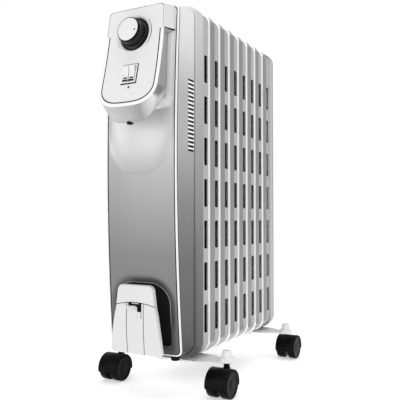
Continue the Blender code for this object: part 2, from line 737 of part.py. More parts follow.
def console_panel():
    """The light face plate, with openings for the shaft, the switch and the pilot light."""
    shape = bmesh.new()
    outline = u_outline(RIM_WIDTH + 0.9 * MM)
    half_count = len(outline) // 2
    right = outline[1:half_count]
    rows = [[shape.verts.new((x, panel_y(z) + RIM_LIP, z)) for x in (-side_x, side_x)]
            for side_x, z in right]
    tip_x, tip_z = outline[half_count]
    tip = shape.verts.new((tip_x, panel_y(tip_z) + RIM_LIP, tip_z))
    for upper, lower in zip(rows, rows[1:]):
        shape.faces.new((upper[0], upper[1], lower[1], lower[0]))
    shape.faces.new((rows[-1][0], rows[-1][1], tip))
    bmesh.ops.recalc_face_normals(shape, faces=shape.faces)
    shape.faces.ensure_lookup_table()
    if shape.faces[0].normal.y > 0:
        bmesh.ops.reverse_faces(shape, faces=shape.faces)
    mesh = bpy.data.meshes.new("console_panel")
    shape.to_mesh(mesh)
    shape.free()
    mesh.materials.append(PANEL_WHITE)
    mesh.shade_smooth()
    panel = bpy.data.objects.new("console_panel", mesh)
    bpy.context.collection.objects.link(panel)
    solidify(panel, PANEL_WALL)
    reach = 12 * MM
    hole = [(0.0, -reach), (BEZEL_HOLE, -reach), (BEZEL_HOLE, reach), (0.0, reach)]
    cut(panel, turned("bezel_cutter", hole, 20, face_place(KNOB_Z), BLACK))
    wide = SWITCH_HALF_WIDTH - 1.2 * MM
    tall = SWITCH_HALF_HEIGHT - 1.2 * MM
    cut(panel, box_at("switch_cutter", face_place(SWITCH_Z), (-wide, -tall, -reach),
                      (wide, tall, reach), BLACK))
    hole = [(0.0, -reach), (2.2 * MM, -reach), (2.2 * MM, reach), (0.0, reach)]
    cut(panel, turned("pilot_cutter", hole, 10, face_place(PILOT_Z, x=PILOT_X), BLACK))
    return panel


def knob_assembly():
    """Bezel ring, knob with its blind bore, light cap, shaft and the thermostat behind."""
    place = face_place(KNOB_Z, -RIM_LIP)
    pivot = place.to_translation()
    ring = [(BEZEL_HOLE - 0.4 * MM, -2.6 * MM), (BEZEL_HOLE - 0.4 * MM, BEZEL_SEAT),
            (BEZEL_RADIUS, BEZEL_SEAT), (BEZEL_RADIUS - 0.6 * MM, BEZEL_SEAT + 1.2 * MM),
            (BEZEL_RADIUS - 2.4 * MM, BEZEL_SEAT + 1.4 * MM), (KNOB_BASE_RADIUS + 1.0 * MM, 1.6 * MM),
            (KNOB_BASE_RADIUS + 0.8 * MM, -2.6 * MM)]
    turned("knob_bezel", closed_profile(ring), 28, place, TRIM_WHITE)
    top = KNOB_HEIGHT - 2.4 * MM
    bore = SHAFT_RADIUS + 0.25 * MM
    knob = [(0.0, top - 3.0 * MM), (bore, top - 3.0 * MM), (bore, 0.6 * MM),
            (KNOB_BASE_RADIUS, 0.6 * MM), (KNOB_BASE_RADIUS, 2.2 * MM),
            (KNOB_CAP_RADIUS + 2.2 * MM, 3.0 * MM), (KNOB_CAP_RADIUS + 0.8 * MM, top),
            (0.0, top)]
    turned("thermostat_knob", knob, 28, place, CHROME, origin=pivot)
    cap = [(0.0, top + 0.3 * MM), (KNOB_CAP_RADIUS + 0.4 * MM, top + 0.3 * MM),
           (KNOB_CAP_RADIUS + 0.4 * MM, KNOB_HEIGHT - 0.7 * MM),
           (KNOB_CAP_RADIUS - 0.6 * MM, KNOB_HEIGHT), (0.0, KNOB_HEIGHT)]
    turned("knob_cap", cap, 28, place, PANEL_WHITE, origin=pivot)
    shaft = [(0.0, -10.0 * MM), (SHAFT_RADIUS, -10.0 * MM), (SHAFT_RADIUS, top - 3.3 * MM),
             (0.0, top - 3.3 * MM)]
    turned("thermostat_shaft", shaft, 12, place, ZINC, origin=pivot)
    box_at("thermostat_body", place, (-18 * MM, -14 * MM, -30 * MM),
           (18 * MM, 14 * MM, -10.4 * MM), PHENOLIC)


def switch_assembly():
    """A framed pair of rockers side by side, and the switch body behind them."""
    place = face_place(SWITCH_Z, -RIM_LIP)
    wide, tall = SWITCH_HALF_WIDTH, SWITCH_HALF_HEIGHT
    neck = 1.6 * MM
    window = 2.9 * MM
    shape = bmesh.new()
    section = [(0.0, 0.4 * MM), (0.0, 1.2 * MM), (0.8 * MM, 1.9 * MM), (window, 1.9 * MM),
               (window, -6.5 * MM), (neck, -6.5 * MM), (neck, 0.4 * MM)]
    loops = []
    for inset, height in section + section[:1]:
        corners = [(wide - inset, tall - inset), (wide - inset, inset - tall),
                   (inset - wide, inset - tall), (inset - wide, tall - inset)]
        loops.append([place @ Vector((x, y, height)) for x, y in corners])
    add_loft(shape, loops)
    finish("switch_frame", shape, TRIM_WHITE)
    for name, side in (("rocker_left", -1), ("rocker_right", 1)):
        pivot = place @ Vector((side * ROCKER_X, 0.0, ROCKER_PIVOT))
        turn = place @ Matrix.Translation((side * ROCKER_X, 0.0, ROCKER_PIVOT))
        turn = turn @ Matrix.Rotation(radians(ROCKER_REST), 4, "X")
        profile = [(-ROCKER_HALF_HEIGHT, 5.2 * MM), (0.0, 3.9 * MM), (ROCKER_HALF_HEIGHT, 5.2 * MM),
                   (ROCKER_HALF_HEIGHT, 0.6 * MM), (4.0 * MM, -2.6 * MM), (-4.0 * MM, -2.6 * MM),
                   (-ROCKER_HALF_HEIGHT, 0.6 * MM)]
        shape = bmesh.new()
        rows = add_loft(shape, [[turn @ Vector((x, y, height)) for y, height in profile]
                                for x in (-ROCKER_HALF_WIDTH, ROCKER_HALF_WIDTH)])
        for row in rows:
            shape.faces.new(row)
        finish(name, shape, PANEL_WHITE, origin=pivot)
    box_at("switch_body", place, (-11 * MM, -13 * MM, -22 * MM), (11 * MM, 13 * MM, -7.2 * MM),
           BLACK)
    lens = [(0.0, -3.0 * MM), (1.9 * MM, -3.0 * MM), (1.9 * MM, 1.9 * MM), (1.2 * MM, 2.5 * MM),
            (0.0, 2.7 * MM)]
    turned("pilot_lens", lens, 10, face_place(PILOT_Z, -RIM_LIP, PILOT_X), PILOT_AMBER)


console_shell()
console_panel()
knob_assembly()
switch_assembly()


# ---- cord storage -------------------------------------------------------------------------------
def cord_cove():
    """The dark arched tray behind the cord bracket."""
    shape = bmesh.new()
    loops = []
    for inset, share in ((0.0, 0.0), (1.2 * MM, 0.12), (6.0 * MM, 0.7), (12.0 * MM, 1.0)):
        loops.append([Vector((x, (fascia_y(x, z) + 0.4 * MM) * (1 - share) + COVE_BACK_Y * share, z))
                      for x, z in cove_outline(-inset)])
    rows = add_loft(shape, loops)
    shape.faces.new(rows[-1])
    return solidify(finish("cord_cove", shape, COVE_GREY), COVE_WALL)


def bracket_outline(inset):
    """Trapezoid with rounded corners, wider at its foot."""
    top, bottom = BRACKET_TOP_Z - inset, BRACKET_BOTTOM_Z + inset
    high, low = BRACKET_TOP_HALF - inset, BRACKET_BOTTOM_HALF - inset
    corner = 8.0 * MM - inset
    right = arc_points(high - corner, top - corner, corner, 90, 10, 3)
    right += arc_points(low - corner, bottom + corner, corner, 0, -90, 2)
    return right + [(-x, z) for x, z in reversed(right)]


def bracket_y(z):
    """The bracket's face: upright above, drawn back towards its foot."""
    return BRACKET_FACE_Y + 4.0 * MM * smooth_step((120 * MM - z) / (60 * MM))


def cord_bracket():
    """Cap-shaped bracket on a post: the cord is wound round the post behind it."""
    shape = bmesh.new()
    loops = []
    for inset, back in ((1.4 * MM, 8.0 * MM), (0.0, 6.0 * MM), (0.0, 1.6 * MM), (1.6 * MM, 0.0)):
        loops.append([Vector((x, bracket_y(z) + back, z)) for x, z in bracket_outline(inset)])
    rows = add_loft(shape, loops)
    ring = rows[-1]
    count = len(ring)
    for step in range(count // 2):
        right, left = ring[step], ring[count - 1 - step]
        if step == count // 2 - 1:
            break
        shape.faces.new((right, left, ring[count - 2 - step], ring[step + 1]))
    bracket = solidify(finish("cord_bracket", shape, BRACKET_WHITE, 30.0), 2.2 * MM)
    cut(bracket, box_at("window_cutter", Matrix(), (-WINDOW_HALF, BRACKET_FACE_Y - 20 * MM,
                                                    WINDOW_LOW_Z),
                        (WINDOW_HALF, BRACKET_FACE_Y + 6 * MM, WINDOW_HIGH_Z), BLACK))
    post = bmesh.new()
    post_back = COVE_BACK_Y - COVE_WALL - GAP
    add_box(post, (-POST_HALF, BRACKET_FACE_Y + 1.2 * MM, 96 * MM),
            (POST_HALF, post_back, 124 * MM))
    join(bracket, finish("bracket_post", post, BRACKET_WHITE))
    tab = bmesh.new()
    curl = [(2.0, 118.0), (2.0, 143.0), (0.0, 148.0), (-3.2, 149.0), (-4.2, 146.6), (-2.6, 145.4),
            (-1.0, 144.0), (0.2, 140.0), (0.2, 118.0)]
    rows = add_loft(tab, [[Vector((x, BRACKET_FACE_Y + back * MM, z * MM)) for back, z in curl]
                          for x in (-TAB_HALF, TAB_HALF)])
    for row in rows:
        tab.faces.new(row)
    join(bracket, finish("bracket_tab", tab, BRACKET_WHITE))
    return bracket


def cord_gland():
    """Bush under the housing where the mains lead enters."""
    section = [(3.6 * MM, 60.5 * MM), (6.6 * MM, 60.5 * MM), (8.0 * MM, 64.0 * MM),
               (8.0 * MM, HOUSING_BOTTOM - GAP), (GLAND_NECK, HOUSING_BOTTOM - GAP),
               (GLAND_NECK, HOUSING_BOTTOM + 6 * MM), (3.6 * MM, HOUSING_BOTTOM + 6 * MM)]
    place = Matrix.Translation((GLAND_X, GLAND_Y, 0.0))
    turned("cord_gland", closed_profile(section), 14, place, BLACK)


cord_cove()
cord_bracket()
cord_gland()


# ---- pieces inside ------------------------------------------------------------------------------
def bent_bar(name, points, radius, finish_material, resolution=1):
    """A round bar along a list of points."""
    path = bpy.data.curves.new(name, "CURVE")
    path.dimensions = "3D"
    path.bevel_depth = radius
    path.bevel_resolution = resolution
    path.use_fill_caps = True
    spline = path.splines.new("POLY")
    spline.points.add(len(points) - 1)
    for step, point in enumerate(points):
        spline.points[step].co = (*point, 1.0)
    path.materials.append(finish_material)
    made = bpy.data.objects.new(name, path)
    bpy.context.collection.objects.link(made)
    return made


def hairpin(half, z, near, far, steps=6):
    """A U-shaped route lying flat along Y."""
    points = [(-half, near, z), (-half, far, z)]
    for step in range(1, steps):
        angle = pi - pi * step / steps
        points.append((half * cos(angle), far + half * sin(angle), z))
    return points + [(half, far, z), (half, near, z)]


def header_fitting(name, z, boss_radius, finish_material):
    """A plug screwed into the front end of an oil header."""
    face = element_y(1) - FLANGE_HALF_DEPTH
    place = axis_place((0.0, face, z), (0.0, 1.0, 0.0))
    section = [(0.0, -6.6 * MM), (boss_radius, -6.6 * MM), (boss_radius, -3.2 * MM),
               (17.0 * MM, -3.2 * MM), (17.0 * MM, -GAP), (12.4 * MM, -GAP), (12.4 * MM, 5.0 * MM),
               (0.0, 5.0 * MM)]
    turned(name, section, 12, place, finish_material)


def inner_pieces():
    face = element_y(1) - FLANGE_HALF_DEPTH
    header_fitting("heater_flange", LOWER_HEADER_Z, 11.0 * MM, BRASS)
    header_fitting("oil_filler_plug", UPPER_HEADER_Z, 8.0 * MM, BRASS)
    last = element_y(ELEMENTS) - FLANGE_HALF_DEPTH
    bent_bar("heating_element", hairpin(6.4 * MM, LOWER_HEADER_Z, face + 6.0 * MM, last - 14 * MM),
             4.0 * MM, ZINC)
    place = axis_place((19.0 * MM, face, 330 * MM), (0.0, -1.0, 0.0))
    section = [(0.0, GAP), (7.5 * MM, GAP), (7.5 * MM, 4.5 * MM), (0.0, 5.5 * MM)]
    turned("thermal_cutout", section, 12, place, ZINC)
    low = (-50 * MM, FIRST_GAP_Y - 62 * MM, HOUSING_BOTTOM + 2.4 * MM)
    high = (-28 * MM, FIRST_GAP_Y - 44 * MM, HOUSING_BOTTOM + 30 * MM)
    box_at("tip_over_switch", Matrix(), low, high, BLACK)
    heat_shield()


inner_pieces()


# ---- feet and casters ---------------------------------------------------------------------------
def plate_outline():
    """Foot plate seen from above: wide under the body, narrow and round at the casters."""
    right = [(0.0, -PLATE_HALF_DEPTH), (62 * MM, -PLATE_HALF_DEPTH), (76 * MM, -24 * MM),
             (90 * MM, -13 * MM)]
    right += arc_points(CASTER_X, 0.0, 13 * MM, -75, 75, 5)
    right += [(90 * MM, 13 * MM), (76 * MM, 24 * MM), (62 * MM, PLATE_HALF_DEPTH),
              (0.0, PLATE_HALF_DEPTH)]
    left = [(-x, y) for x, y in reversed(right[1:-1])]
    return right + left


def foot_plate(name, middle_y):
    """Pressed plate with a raised pad and a hollow boss at each caster."""
    shape = bmesh.new()
    rows = add_loft(shape, [[Vector((x, middle_y + y, z)) for x, y in plate_outline()]
                            for z in (PLATE_Z, PLATE_Z + PLATE_THICKNESS)])
    for row in rows:
        shape.faces.new(row)
    plate = finish(name, shape, PLATE_WHITE)
    for side in (-1, 1):
        place = Matrix.Translation((side * CASTER_X, middle_y, 0.0))
        low = PLATE_Z + 1.0 * MM
        pad = [(0.0, low), (12.0 * MM, low), (11.2 * MM, 60.0 * MM), (8.6 * MM, 61.5 * MM),
               (6.6 * MM, 71.0 * MM), (0.0, 72.0 * MM)]
        join(plate, turned(f"{name}_boss_{side}", pad, 16, place, PLATE_WHITE))
        bore = STEM_RADIUS + 0.3 * MM
        socket = [(0.0, PLATE_Z - 5 * MM), (bore, PLATE_Z - 5 * MM), (bore, 66.0 * MM),
                  (0.0, 66.0 * MM)]
        cut(plate, turned(f"{name}_socket_{side}", socket, 12, place, PLATE_WHITE))
        place = Matrix.Translation((side * BOLT_HALF, middle_y, 0.0))
        bore = BOLT_RADIUS + 0.5 * MM
        hole = [(0.0, PLATE_Z - 5 * MM), (bore, PLATE_Z - 5 * MM), (bore, PLATE_Z + 9 * MM),
                (0.0, PLATE_Z + 9 * MM)]
        cut(plate, turned(f"{name}_hole_{side}", hole, 8, place, PLATE_WHITE))


def u_bolt(name, middle_y):
    """U-bolt over the lower oil header; its ends pass the foot plate."""
    foot = PLATE_Z - 9.0 * MM
    points = [(-BOLT_HALF, middle_y, foot)]
    for step in range(7):
        angle = pi - pi * step / 6
        points.append((BOLT_HALF * cos(angle), middle_y, LOWER_HEADER_Z + BOLT_HALF * sin(angle)))
    bent_bar(name, points + [(BOLT_HALF, middle_y, foot)], BOLT_RADIUS, ZINC)


def caster_hood(name, stem, way):
    """Fender over both wheels with the middle web that carries axle and stem."""
    centre = Vector((stem.x, stem.y + way * CASTER_TRAIL, WHEEL_RADIUS))
    half = WHEEL_WIDTH + WHEEL_GAP / 2 + 0.4 * MM
    web = WHEEL_GAP / 2 - 0.5 * MM
    inner = WHEEL_RADIUS + 0.9 * MM
    notch = 3.3 * MM
    section = [(-half, HOOD_RADIUS), (half, HOOD_RADIUS), (half, inner), (web, inner),
               (web, notch), (-web, notch), (-web, inner), (-half, inner)]
    shape = bmesh.new()
    loops = []
    steps = 9
    for step in range(steps + 1):
        angle = radians(-12 + 204 * step / steps)
        loops.append([centre + Vector((x, reach * cos(angle), reach * sin(angle)))
                      for x, reach in section])
    rows = add_loft(shape, loops)
    shape.faces.new(rows[0])
    shape.faces.new(rows[-1])
    hood = finish(name, shape, BLACK, origin=stem)
    bore = STEM_RADIUS + 0.4 * MM
    low, high = 27 * MM, 60 * MM
    hole = [(0.0, low), (bore, low), (bore, high), (0.0, high)]
    cut(hood, turned(f"{name}_bore", hole, 10, Matrix.Translation((stem.x, stem.y, 0.0)), BLACK))


def caster(name, x, middle_y, way):
    """One twin-wheel caster; way is the side of the stem, along Y, on which its wheels stand."""
    stem = Vector((x, middle_y, 0.0))
    caster_hood(f"{name}_hood", stem, way)
    place = Matrix.Translation(stem)
    section = [(0.0, 27.4 * MM), (STEM_RADIUS, 27.4 * MM), (STEM_RADIUS, 44.6 * MM),
               (5.0 * MM, 44.6 * MM), (5.0 * MM, PLATE_Z - GAP), (STEM_RADIUS, PLATE_Z - GAP),
               (STEM_RADIUS, 65.2 * MM), (0.0, 65.2 * MM)]
    turned(f"{name}_stem", section, 10, place, BLACK, origin=stem)
    hub = Vector((x, middle_y + way * CASTER_TRAIL, WHEEL_RADIUS))
    place = axis_place(hub, (1.0, 0.0, 0.0))
    end = WHEEL_GAP / 2 + WHEEL_WIDTH - 1.0 * MM
    axle = [(0.0, -end), (2.5 * MM, -end), (2.5 * MM, end), (0.0, end)]
    turned(f"{name}_axle", axle, 8, place, ZINC, origin=hub)
    for side_name, side in (("left", -1), ("right", 1)):
        place = axis_place(hub + Vector((side * WHEEL_GAP / 2, 0.0, 0.0)), (side, 0.0, 0.0))
        wide = WHEEL_WIDTH
        tyre = [(2.7 * MM, 0.0), (WHEEL_RADIUS - 1.6 * MM, 0.0), (WHEEL_RADIUS, 1.4 * MM),
                (WHEEL_RADIUS, wide - 1.4 * MM), (WHEEL_RADIUS - 1.6 * MM, wide), (2.7 * MM, wide)]
        turned(f"{name}_wheel_{side_name}", closed_profile(tyre), WHEEL_SIDES, place, BLACK,
               origin=hub)


for end_name, end_y, end_way in (("front", FRONT_PLATE_Y, -1), ("rear", REAR_PLATE_Y, 1)):
    foot_plate(f"{end_name}_foot_plate", end_y)
    u_bolt(f"{end_name}_u_bolt", end_y)
    for side_word, side_sign in (("left", -1), ("right", 1)):
        caster(f"{end_name}_{side_word}_caster", side_sign * CASTER_X, end_y, end_way)
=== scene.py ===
"""Looks of the oil filled radiator heater: enamelled elements, silver shells, console, cord
bracket, foot plates and casters.

Metres.  +Z is up, the console faces -Y and the elements are stacked along +Y.
"""
import json
from math import cos, hypot, pi, radians, sin, sqrt

import bmesh
import bpy
from mathutils import Matrix, Vector


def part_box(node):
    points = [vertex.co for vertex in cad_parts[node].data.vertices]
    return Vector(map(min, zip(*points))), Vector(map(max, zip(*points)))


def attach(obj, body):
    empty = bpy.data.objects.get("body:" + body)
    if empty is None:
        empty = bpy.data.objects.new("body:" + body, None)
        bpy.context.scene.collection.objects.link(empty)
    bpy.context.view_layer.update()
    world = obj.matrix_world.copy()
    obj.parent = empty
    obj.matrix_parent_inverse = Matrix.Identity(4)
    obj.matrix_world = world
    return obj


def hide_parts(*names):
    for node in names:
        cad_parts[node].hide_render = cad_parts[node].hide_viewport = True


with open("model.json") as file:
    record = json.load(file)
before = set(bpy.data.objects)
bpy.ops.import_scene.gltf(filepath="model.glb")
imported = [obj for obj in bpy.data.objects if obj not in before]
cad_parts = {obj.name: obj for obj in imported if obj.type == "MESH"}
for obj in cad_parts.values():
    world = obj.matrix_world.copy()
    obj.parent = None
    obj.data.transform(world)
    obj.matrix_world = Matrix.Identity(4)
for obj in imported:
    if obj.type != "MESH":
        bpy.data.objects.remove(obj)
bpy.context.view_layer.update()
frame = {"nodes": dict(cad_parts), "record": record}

MM = 0.001
BODY = "heater"

# ---- sizes taken from the frame -----------------------------------------------------------------
second_low, second_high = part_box("radiator_element_2")
third_low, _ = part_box("radiator_element_3")
housing_low, housing_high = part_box("control_housing")
front_cover_low, front_cover_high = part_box("front_end_cover")
rear_cover_low, rear_cover_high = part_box("rear_end_cover")
bracket_low, bracket_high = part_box("cord_bracket")
_, switch_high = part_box("switch_frame")

PITCH = third_low.y - second_low.y
BODY_HALF = second_high.x
BODY_TOP, BODY_BOTTOM = second_high.z, second_low.z
CHANNEL_DEPTH = 5.0 * MM
FIRST_FACE_Y = second_low.y + CHANNEL_DEPTH - PITCH     # face of element 1
SHEET = 1.2 * MM
BAND_DEPTH = 19.2 * MM
FIRST_GAP_Y = FIRST_FACE_Y + (PITCH + BAND_DEPTH) / 2
BAND_BEND = 2.8 * MM
STRIP_STEP = 1.9 * MM
TOP_CORNER, BOTTOM_CORNER = 20.0 * MM, 28.0 * MM
FLANGE_END_X = 45.0 * MM
HEADERS = (592.0 * MM, 104.0 * MM)
CHANNELS = (-38.0 * MM, 0.0, 38.0 * MM)
CHANNEL_HALF, CHANNEL_TOP_Z, CHANNEL_LOW_Z = 9.0 * MM, 556.0 * MM, 140.0 * MM
SLOT_TOP_Z, SLOT_PITCH, SLOT_LENGTH, SLOT_WIDTH = 560.0 * MM, 69.5 * MM, 46.5 * MM, 10.8 * MM
SLOTS = 7

HOUSING_HALF = housing_high.x
HOUSING_BOTTOM, HOUSING_TOP = housing_low.z, housing_high.z
HOUSING_TOP_FRONT = HOUSING_TOP - 12.0 * MM
HOUSING_REAR_Y = housing_high.y
HOUSING_SET_BACK = 2.4 * MM             # room for the trim bead
BULGE_Y, BULGE_Z, BULGE_RADIUS = FIRST_GAP_Y - 94.0 * MM, 394.0 * MM, 2960.0 * MM
FASCIA_HALF, FASCIA_TOP, FASCIA_BOTTOM, FASCIA_CORNER = 64.4 * MM, 617.6 * MM, 73.9 * MM, 8.0 * MM
FASCIA_BOW = 6.0 * MM
DISH_LOW_Z, DISH_RISE, DISH_ROOF_Z, DISH_DEPTH = 358.0 * MM, 42.0 * MM, 459.0 * MM, 13.0 * MM
DISH_HALF = 61.0 * MM
VENTS, VENT_PITCH, VENT_TOP_Z, VENT_HEIGHT = 18, 6.65 * MM, 509.0 * MM, 3.2 * MM
VENT_FRONT_Y, VENT_REAR_Y = FIRST_GAP_Y - 58.0 * MM, FIRST_GAP_Y - 40.0 * MM

PANEL_TOP_Z, PANEL_TOP_Y = 619.0 * MM, FIRST_GAP_Y - 106.0 * MM
PANEL_LEAN, PANEL_SWEEP = 0.09, 0.72
CONSOLE_HALF, CONSOLE_BOTTOM = 55.5 * MM, 456.5 * MM
SHOULDER_Z, NOTCH_Z = 573.0 * MM, 578.5 * MM
GROOVE_LOW_Z, GROOVE_HIGH_Z = 577.6 * MM, 579.4 * MM
CURVE_Z = 490.0 * MM                    # the console's straight sides end here
CHIN_Y, CHIN_Z = FIRST_GAP_Y - 125.0 * MM, 434.0 * MM
KNOB_Z = 575.8 * MM
SWITCH_Z = 509.6 * MM
SWITCH_HALF_X, SWITCH_HALF_Z = switch_high.x, 16.0 * MM
PILOT_Z, PILOT_X = 487.5 * MM, 3.0 * MM
FITTING_SEAT = -1.6 * MM                # where knob and switch stand, from the panel's face
ROCKER_X = 5.7 * MM

BRACKET_Y = FIRST_GAP_Y - 108.0 * MM
BRACKET_TOP, BRACKET_BOTTOM = bracket_high.z, bracket_low.z
BRACKET_TOP_HALF, BRACKET_BOTTOM_HALF = 32.0 * MM, 50.0 * MM
WINDOW_HALF = 12.6 * MM
SEAM_Z, GROOVE_X = 155.0 * MM, 16.0 * MM
COVE_HALF, COVE_TOP, COVE_BOTTOM, COVE_ARCH = 51.0 * MM, 185.0 * MM, 84.0 * MM, 34.0 * MM
COVE_BACK_Y = BULGE_Y + 26.0 * MM
PLATE_Z, PLATE_THICKNESS = 52.5 * MM, 2.4 * MM
CASTER_X = 106.0 * MM


# ---- finishes -----------------------------------------------------------------------------------
class Value:
    """A socket's value; arithmetic on it adds Math nodes."""

    def __init__(self, finish, socket):
        self.finish = finish
        self.socket = socket

    def __add__(self, other):
        return self.finish.maths("ADD", self, other)

    def __sub__(self, other):
        return self.finish.maths("SUBTRACT", self, other)

    def __rsub__(self, other):
        return self.finish.maths("SUBTRACT", other, self)

    def __mul__(self, other):
        return self.finish.maths("MULTIPLY", self, other)

    def __truediv__(self, other):
        return self.finish.maths("DIVIDE", self, other)

    __radd__ = __add__
    __rmul__ = __mul__


class Finish:
    """One surface finish: a Principled shader and the nodes that feed it."""

    def __init__(self, name, **constants):
        self.material = bpy.data.materials.new(name)
        self.material.use_nodes = True
        self.tree = self.material.node_tree
        self.shader = self.tree.nodes["Principled BSDF"]
        self.place = self.node("ShaderNodeTexCoord", out="Object")
        self.feed(**constants)

    def node(self, kind, settings=None, sockets=None, out=0):
        made = self.tree.nodes.new(kind)
        for key, value in (settings or {}).items():
            if key == "stops":
                ramp = made.color_ramp
                for place, _ in value[2:]:
                    ramp.elements.new(place)
                for stop, (place, shade) in zip(ramp.elements, value):
                    stop.position = place
                    stop.color = grey(shade)
            else:
                setattr(made, key, value)
        for key, value in (sockets or {}).items():
            if isinstance(value, Value):
                self.tree.links.new(value.socket, made.inputs[key])
            else:
                made.inputs[key].default_value = value
        return Value(self, made.outputs[out])

    def feed(self, **inputs):
        """Set or link the shader's own sockets; an underscore in a name stands for a space."""
        for key, value in inputs.items():
            socket = self.shader.inputs[key.replace("_", " ")]
            if isinstance(value, Value):
                self.tree.links.new(value.socket, socket)
            else:
                socket.default_value = value

    def maths(self, operation, first, second=0.0):
        return self.node("ShaderNodeMath", {"operation": operation}, {0: first, 1: second})

    def axis(self, name):
        return self.node("ShaderNodeSeparateXYZ", None, {0: self.place}, out=name)

    def blend(self, factor, first, second):
        return self.node("ShaderNodeMix", {"data_type": "RGBA"}, {0: factor, 6: first, 7: second},
                         out=2)

    def shade(self, colour, factor):
        """A colour made lighter or darker by a factor."""
        if not isinstance(colour, Value):
            colour = colour[:3]
        return self.node("ShaderNodeVectorMath", {"operation": "SCALE"},
                         {0: colour, "Scale": factor})

    def noise(self, scale, detail=2.0, stretch=(1.0, 1.0, 1.0)):
        stretched = self.node("ShaderNodeMapping", None, {"Vector": self.place, "Scale": stretch})
        return self.node("ShaderNodeTexNoise", None,
                         {"Vector": stretched, "Scale": scale, "Detail": detail})

    def step(self, value, low, high):
        """0 below low and 1 above high, smooth between them."""
        return self.node("ShaderNodeMapRange", {"interpolation_type": "SMOOTHSTEP"},
                         {"Value": value, "From Min": low, "From Max": high})

    def relief(self, height, strength, depth):
        """Bump of a height from 0 to 1."""
        bump = self.node("ShaderNodeBump", None,
                         {"Height": height, "Strength": strength, "Distance": depth})
        self.feed(Normal=bump)


def grey(shade):
    """A neutral colour."""
    return (shade, shade, shade, 1.0)


def enamel(name, shade, strip_highlight_gain=1.0, roughness=0.38, pressed=False):
    """Baked enamel: faint orange peel and slow drift of tone; a pressed element has painted highlights,
    lighter strips and much lighter bends, and painted shade, a dark line in its folds."""
    made = Finish(name, Specular_IOR_Level=0.4, Coat_Roughness=0.25)
    drift = made.noise(7.0, 3.0)
    specks = made.noise(900.0, 1.0)
    tone = (0.97 + drift * 0.06) * (0.985 + specks * 0.03)
    if pressed:
        across = made.maths("ABSOLUTE", made.axis("X"))
        # Painted light: the strips are lighter and the bends much lighter as painted highlights, and each
        # fold has a dark line of painted shade.
        strip = made.step(across, BODY_HALF - 0.6 * MM, BODY_HALF - 1.4 * MM)
        phase = made.maths("FRACT", (made.axis("Y") - FIRST_FACE_Y) / PITCH)
        bend = 1 - made.step(phase, 0.05, 0.08)
        fold = made.step(phase, 0.44, 0.47) * (1 - made.step(phase, 0.5, 0.52))
        tone = tone * (1 + strip * (strip_highlight_gain - 1.0)) * (1 + bend * 1.8) * (1 - fold * 0.55)
    made.feed(Base_Color=made.shade(grey(shade), tone), Coat_Weight=0.15 + drift * 0.1,
              Roughness=roughness - 0.06 + drift * 0.12)
    made.relief(made.noise(420.0, 2.0), 0.12, 0.0004)
    return made.material


def silver(name, stops, fascia=False):
    """Silver lacquer with fine flakes, under a painted reflection that runs from light at the top to dark
    at the bottom; on the fascia, painted shadow round the cord cove's arch and painted light in the finger
    dish."""
    made = Finish(name, Metallic=0.25, Coat_Roughness=0.2)
    # Painted reflection: the tone runs from dark at the bottom to light at the top.
    height = made.axis("Z") / BODY_TOP
    tone = made.node("ShaderNodeValToRGB", {"stops": stops}, {0: height})
    flakes = made.noise(2600.0, 1.0)
    streaks = made.noise(5.0, 3.0, (70.0, 70.0, 1.0))
    drift = made.noise(4.0)
    gain = (0.93 + flakes * 0.14) * (0.97 + streaks * 0.06) * (0.98 + drift * 0.04)
    if fascia:
        x, z = made.axis("X"), made.axis("Z")
        side = made.maths("ABSOLUTE", x)
        # Painted shadow: the fascia darkens round the cord cove's arch, darkest at its edge.
        past_x = made.maths("MAXIMUM", side - COVE_HALF + COVE_ARCH)
        past_z = made.maths("MAXIMUM", z - (COVE_TOP - COVE_ARCH))
        reach = made.maths("SQRT", past_x * past_x + past_z * past_z) - COVE_ARCH
        gain = gain * (0.25 + made.step(reach, -1.0 * MM, 15.0 * MM) * 0.75)
        # Painted light in the finger dish, raised further where the console's shadow falls.
        across = made.maths("MINIMUM", side / DISH_HALF, 1.0)
        inside = z - DISH_LOW_Z - across * across * across * DISH_RISE
        dish = made.step(inside, 0.0, 2.0 * MM) * (1 - made.step(across, 0.93, 1.0))
        middle = made.step(x, -24 * MM, 8 * MM) * (1 - made.step(x, 12 * MM, 40 * MM))
        console_shadow_fill = middle * made.step(z, 404 * MM, 440 * MM)
        gain = gain * (1 + dish * (0.3 + console_shadow_fill * 0.3))
    made.feed(Base_Color=made.shade(tone, gain), Coat_Weight=0.2 + drift * 0.1,
              Roughness=0.37 + streaks * 0.1)
    made.relief(flakes * 0.6 + made.noise(380.0) * 0.4, 0.1, 0.0003)
    return made.material


def brushed(name, stops, side_shade):
    """Metal brushed lengthways, with a painted reflection across X along its underside and one even grey up
    its sides.
    """
    made = Finish(name, Coat_Roughness=0.3)
    lines = made.noise(3.0, 6.0, (14.0, 900.0, 14.0))
    broad = made.noise(2.0, 2.0, (6.0, 60.0, 6.0))
    across = made.axis("X") / (2 * CONSOLE_HALF) + 0.5
    # Painted reflection across X along the underside, with a bright streak near the right corner.
    tone = made.node("ShaderNodeValToRGB", {"stops": stops}, {0: across})
    upright = made.step(made.axis("Z"), CURVE_Z - 6 * MM, CURVE_Z - 1 * MM)
    toned = made.blend(upright, tone, grey(side_shade))
    made.feed(Base_Color=made.shade(toned, 0.86 + lines * 0.2 + broad * 0.08),
              Metallic=0.5 + broad * 0.05, Roughness=0.22 + lines * 0.16)
    made.relief(lines, 0.16, 0.0002)
    return made.material


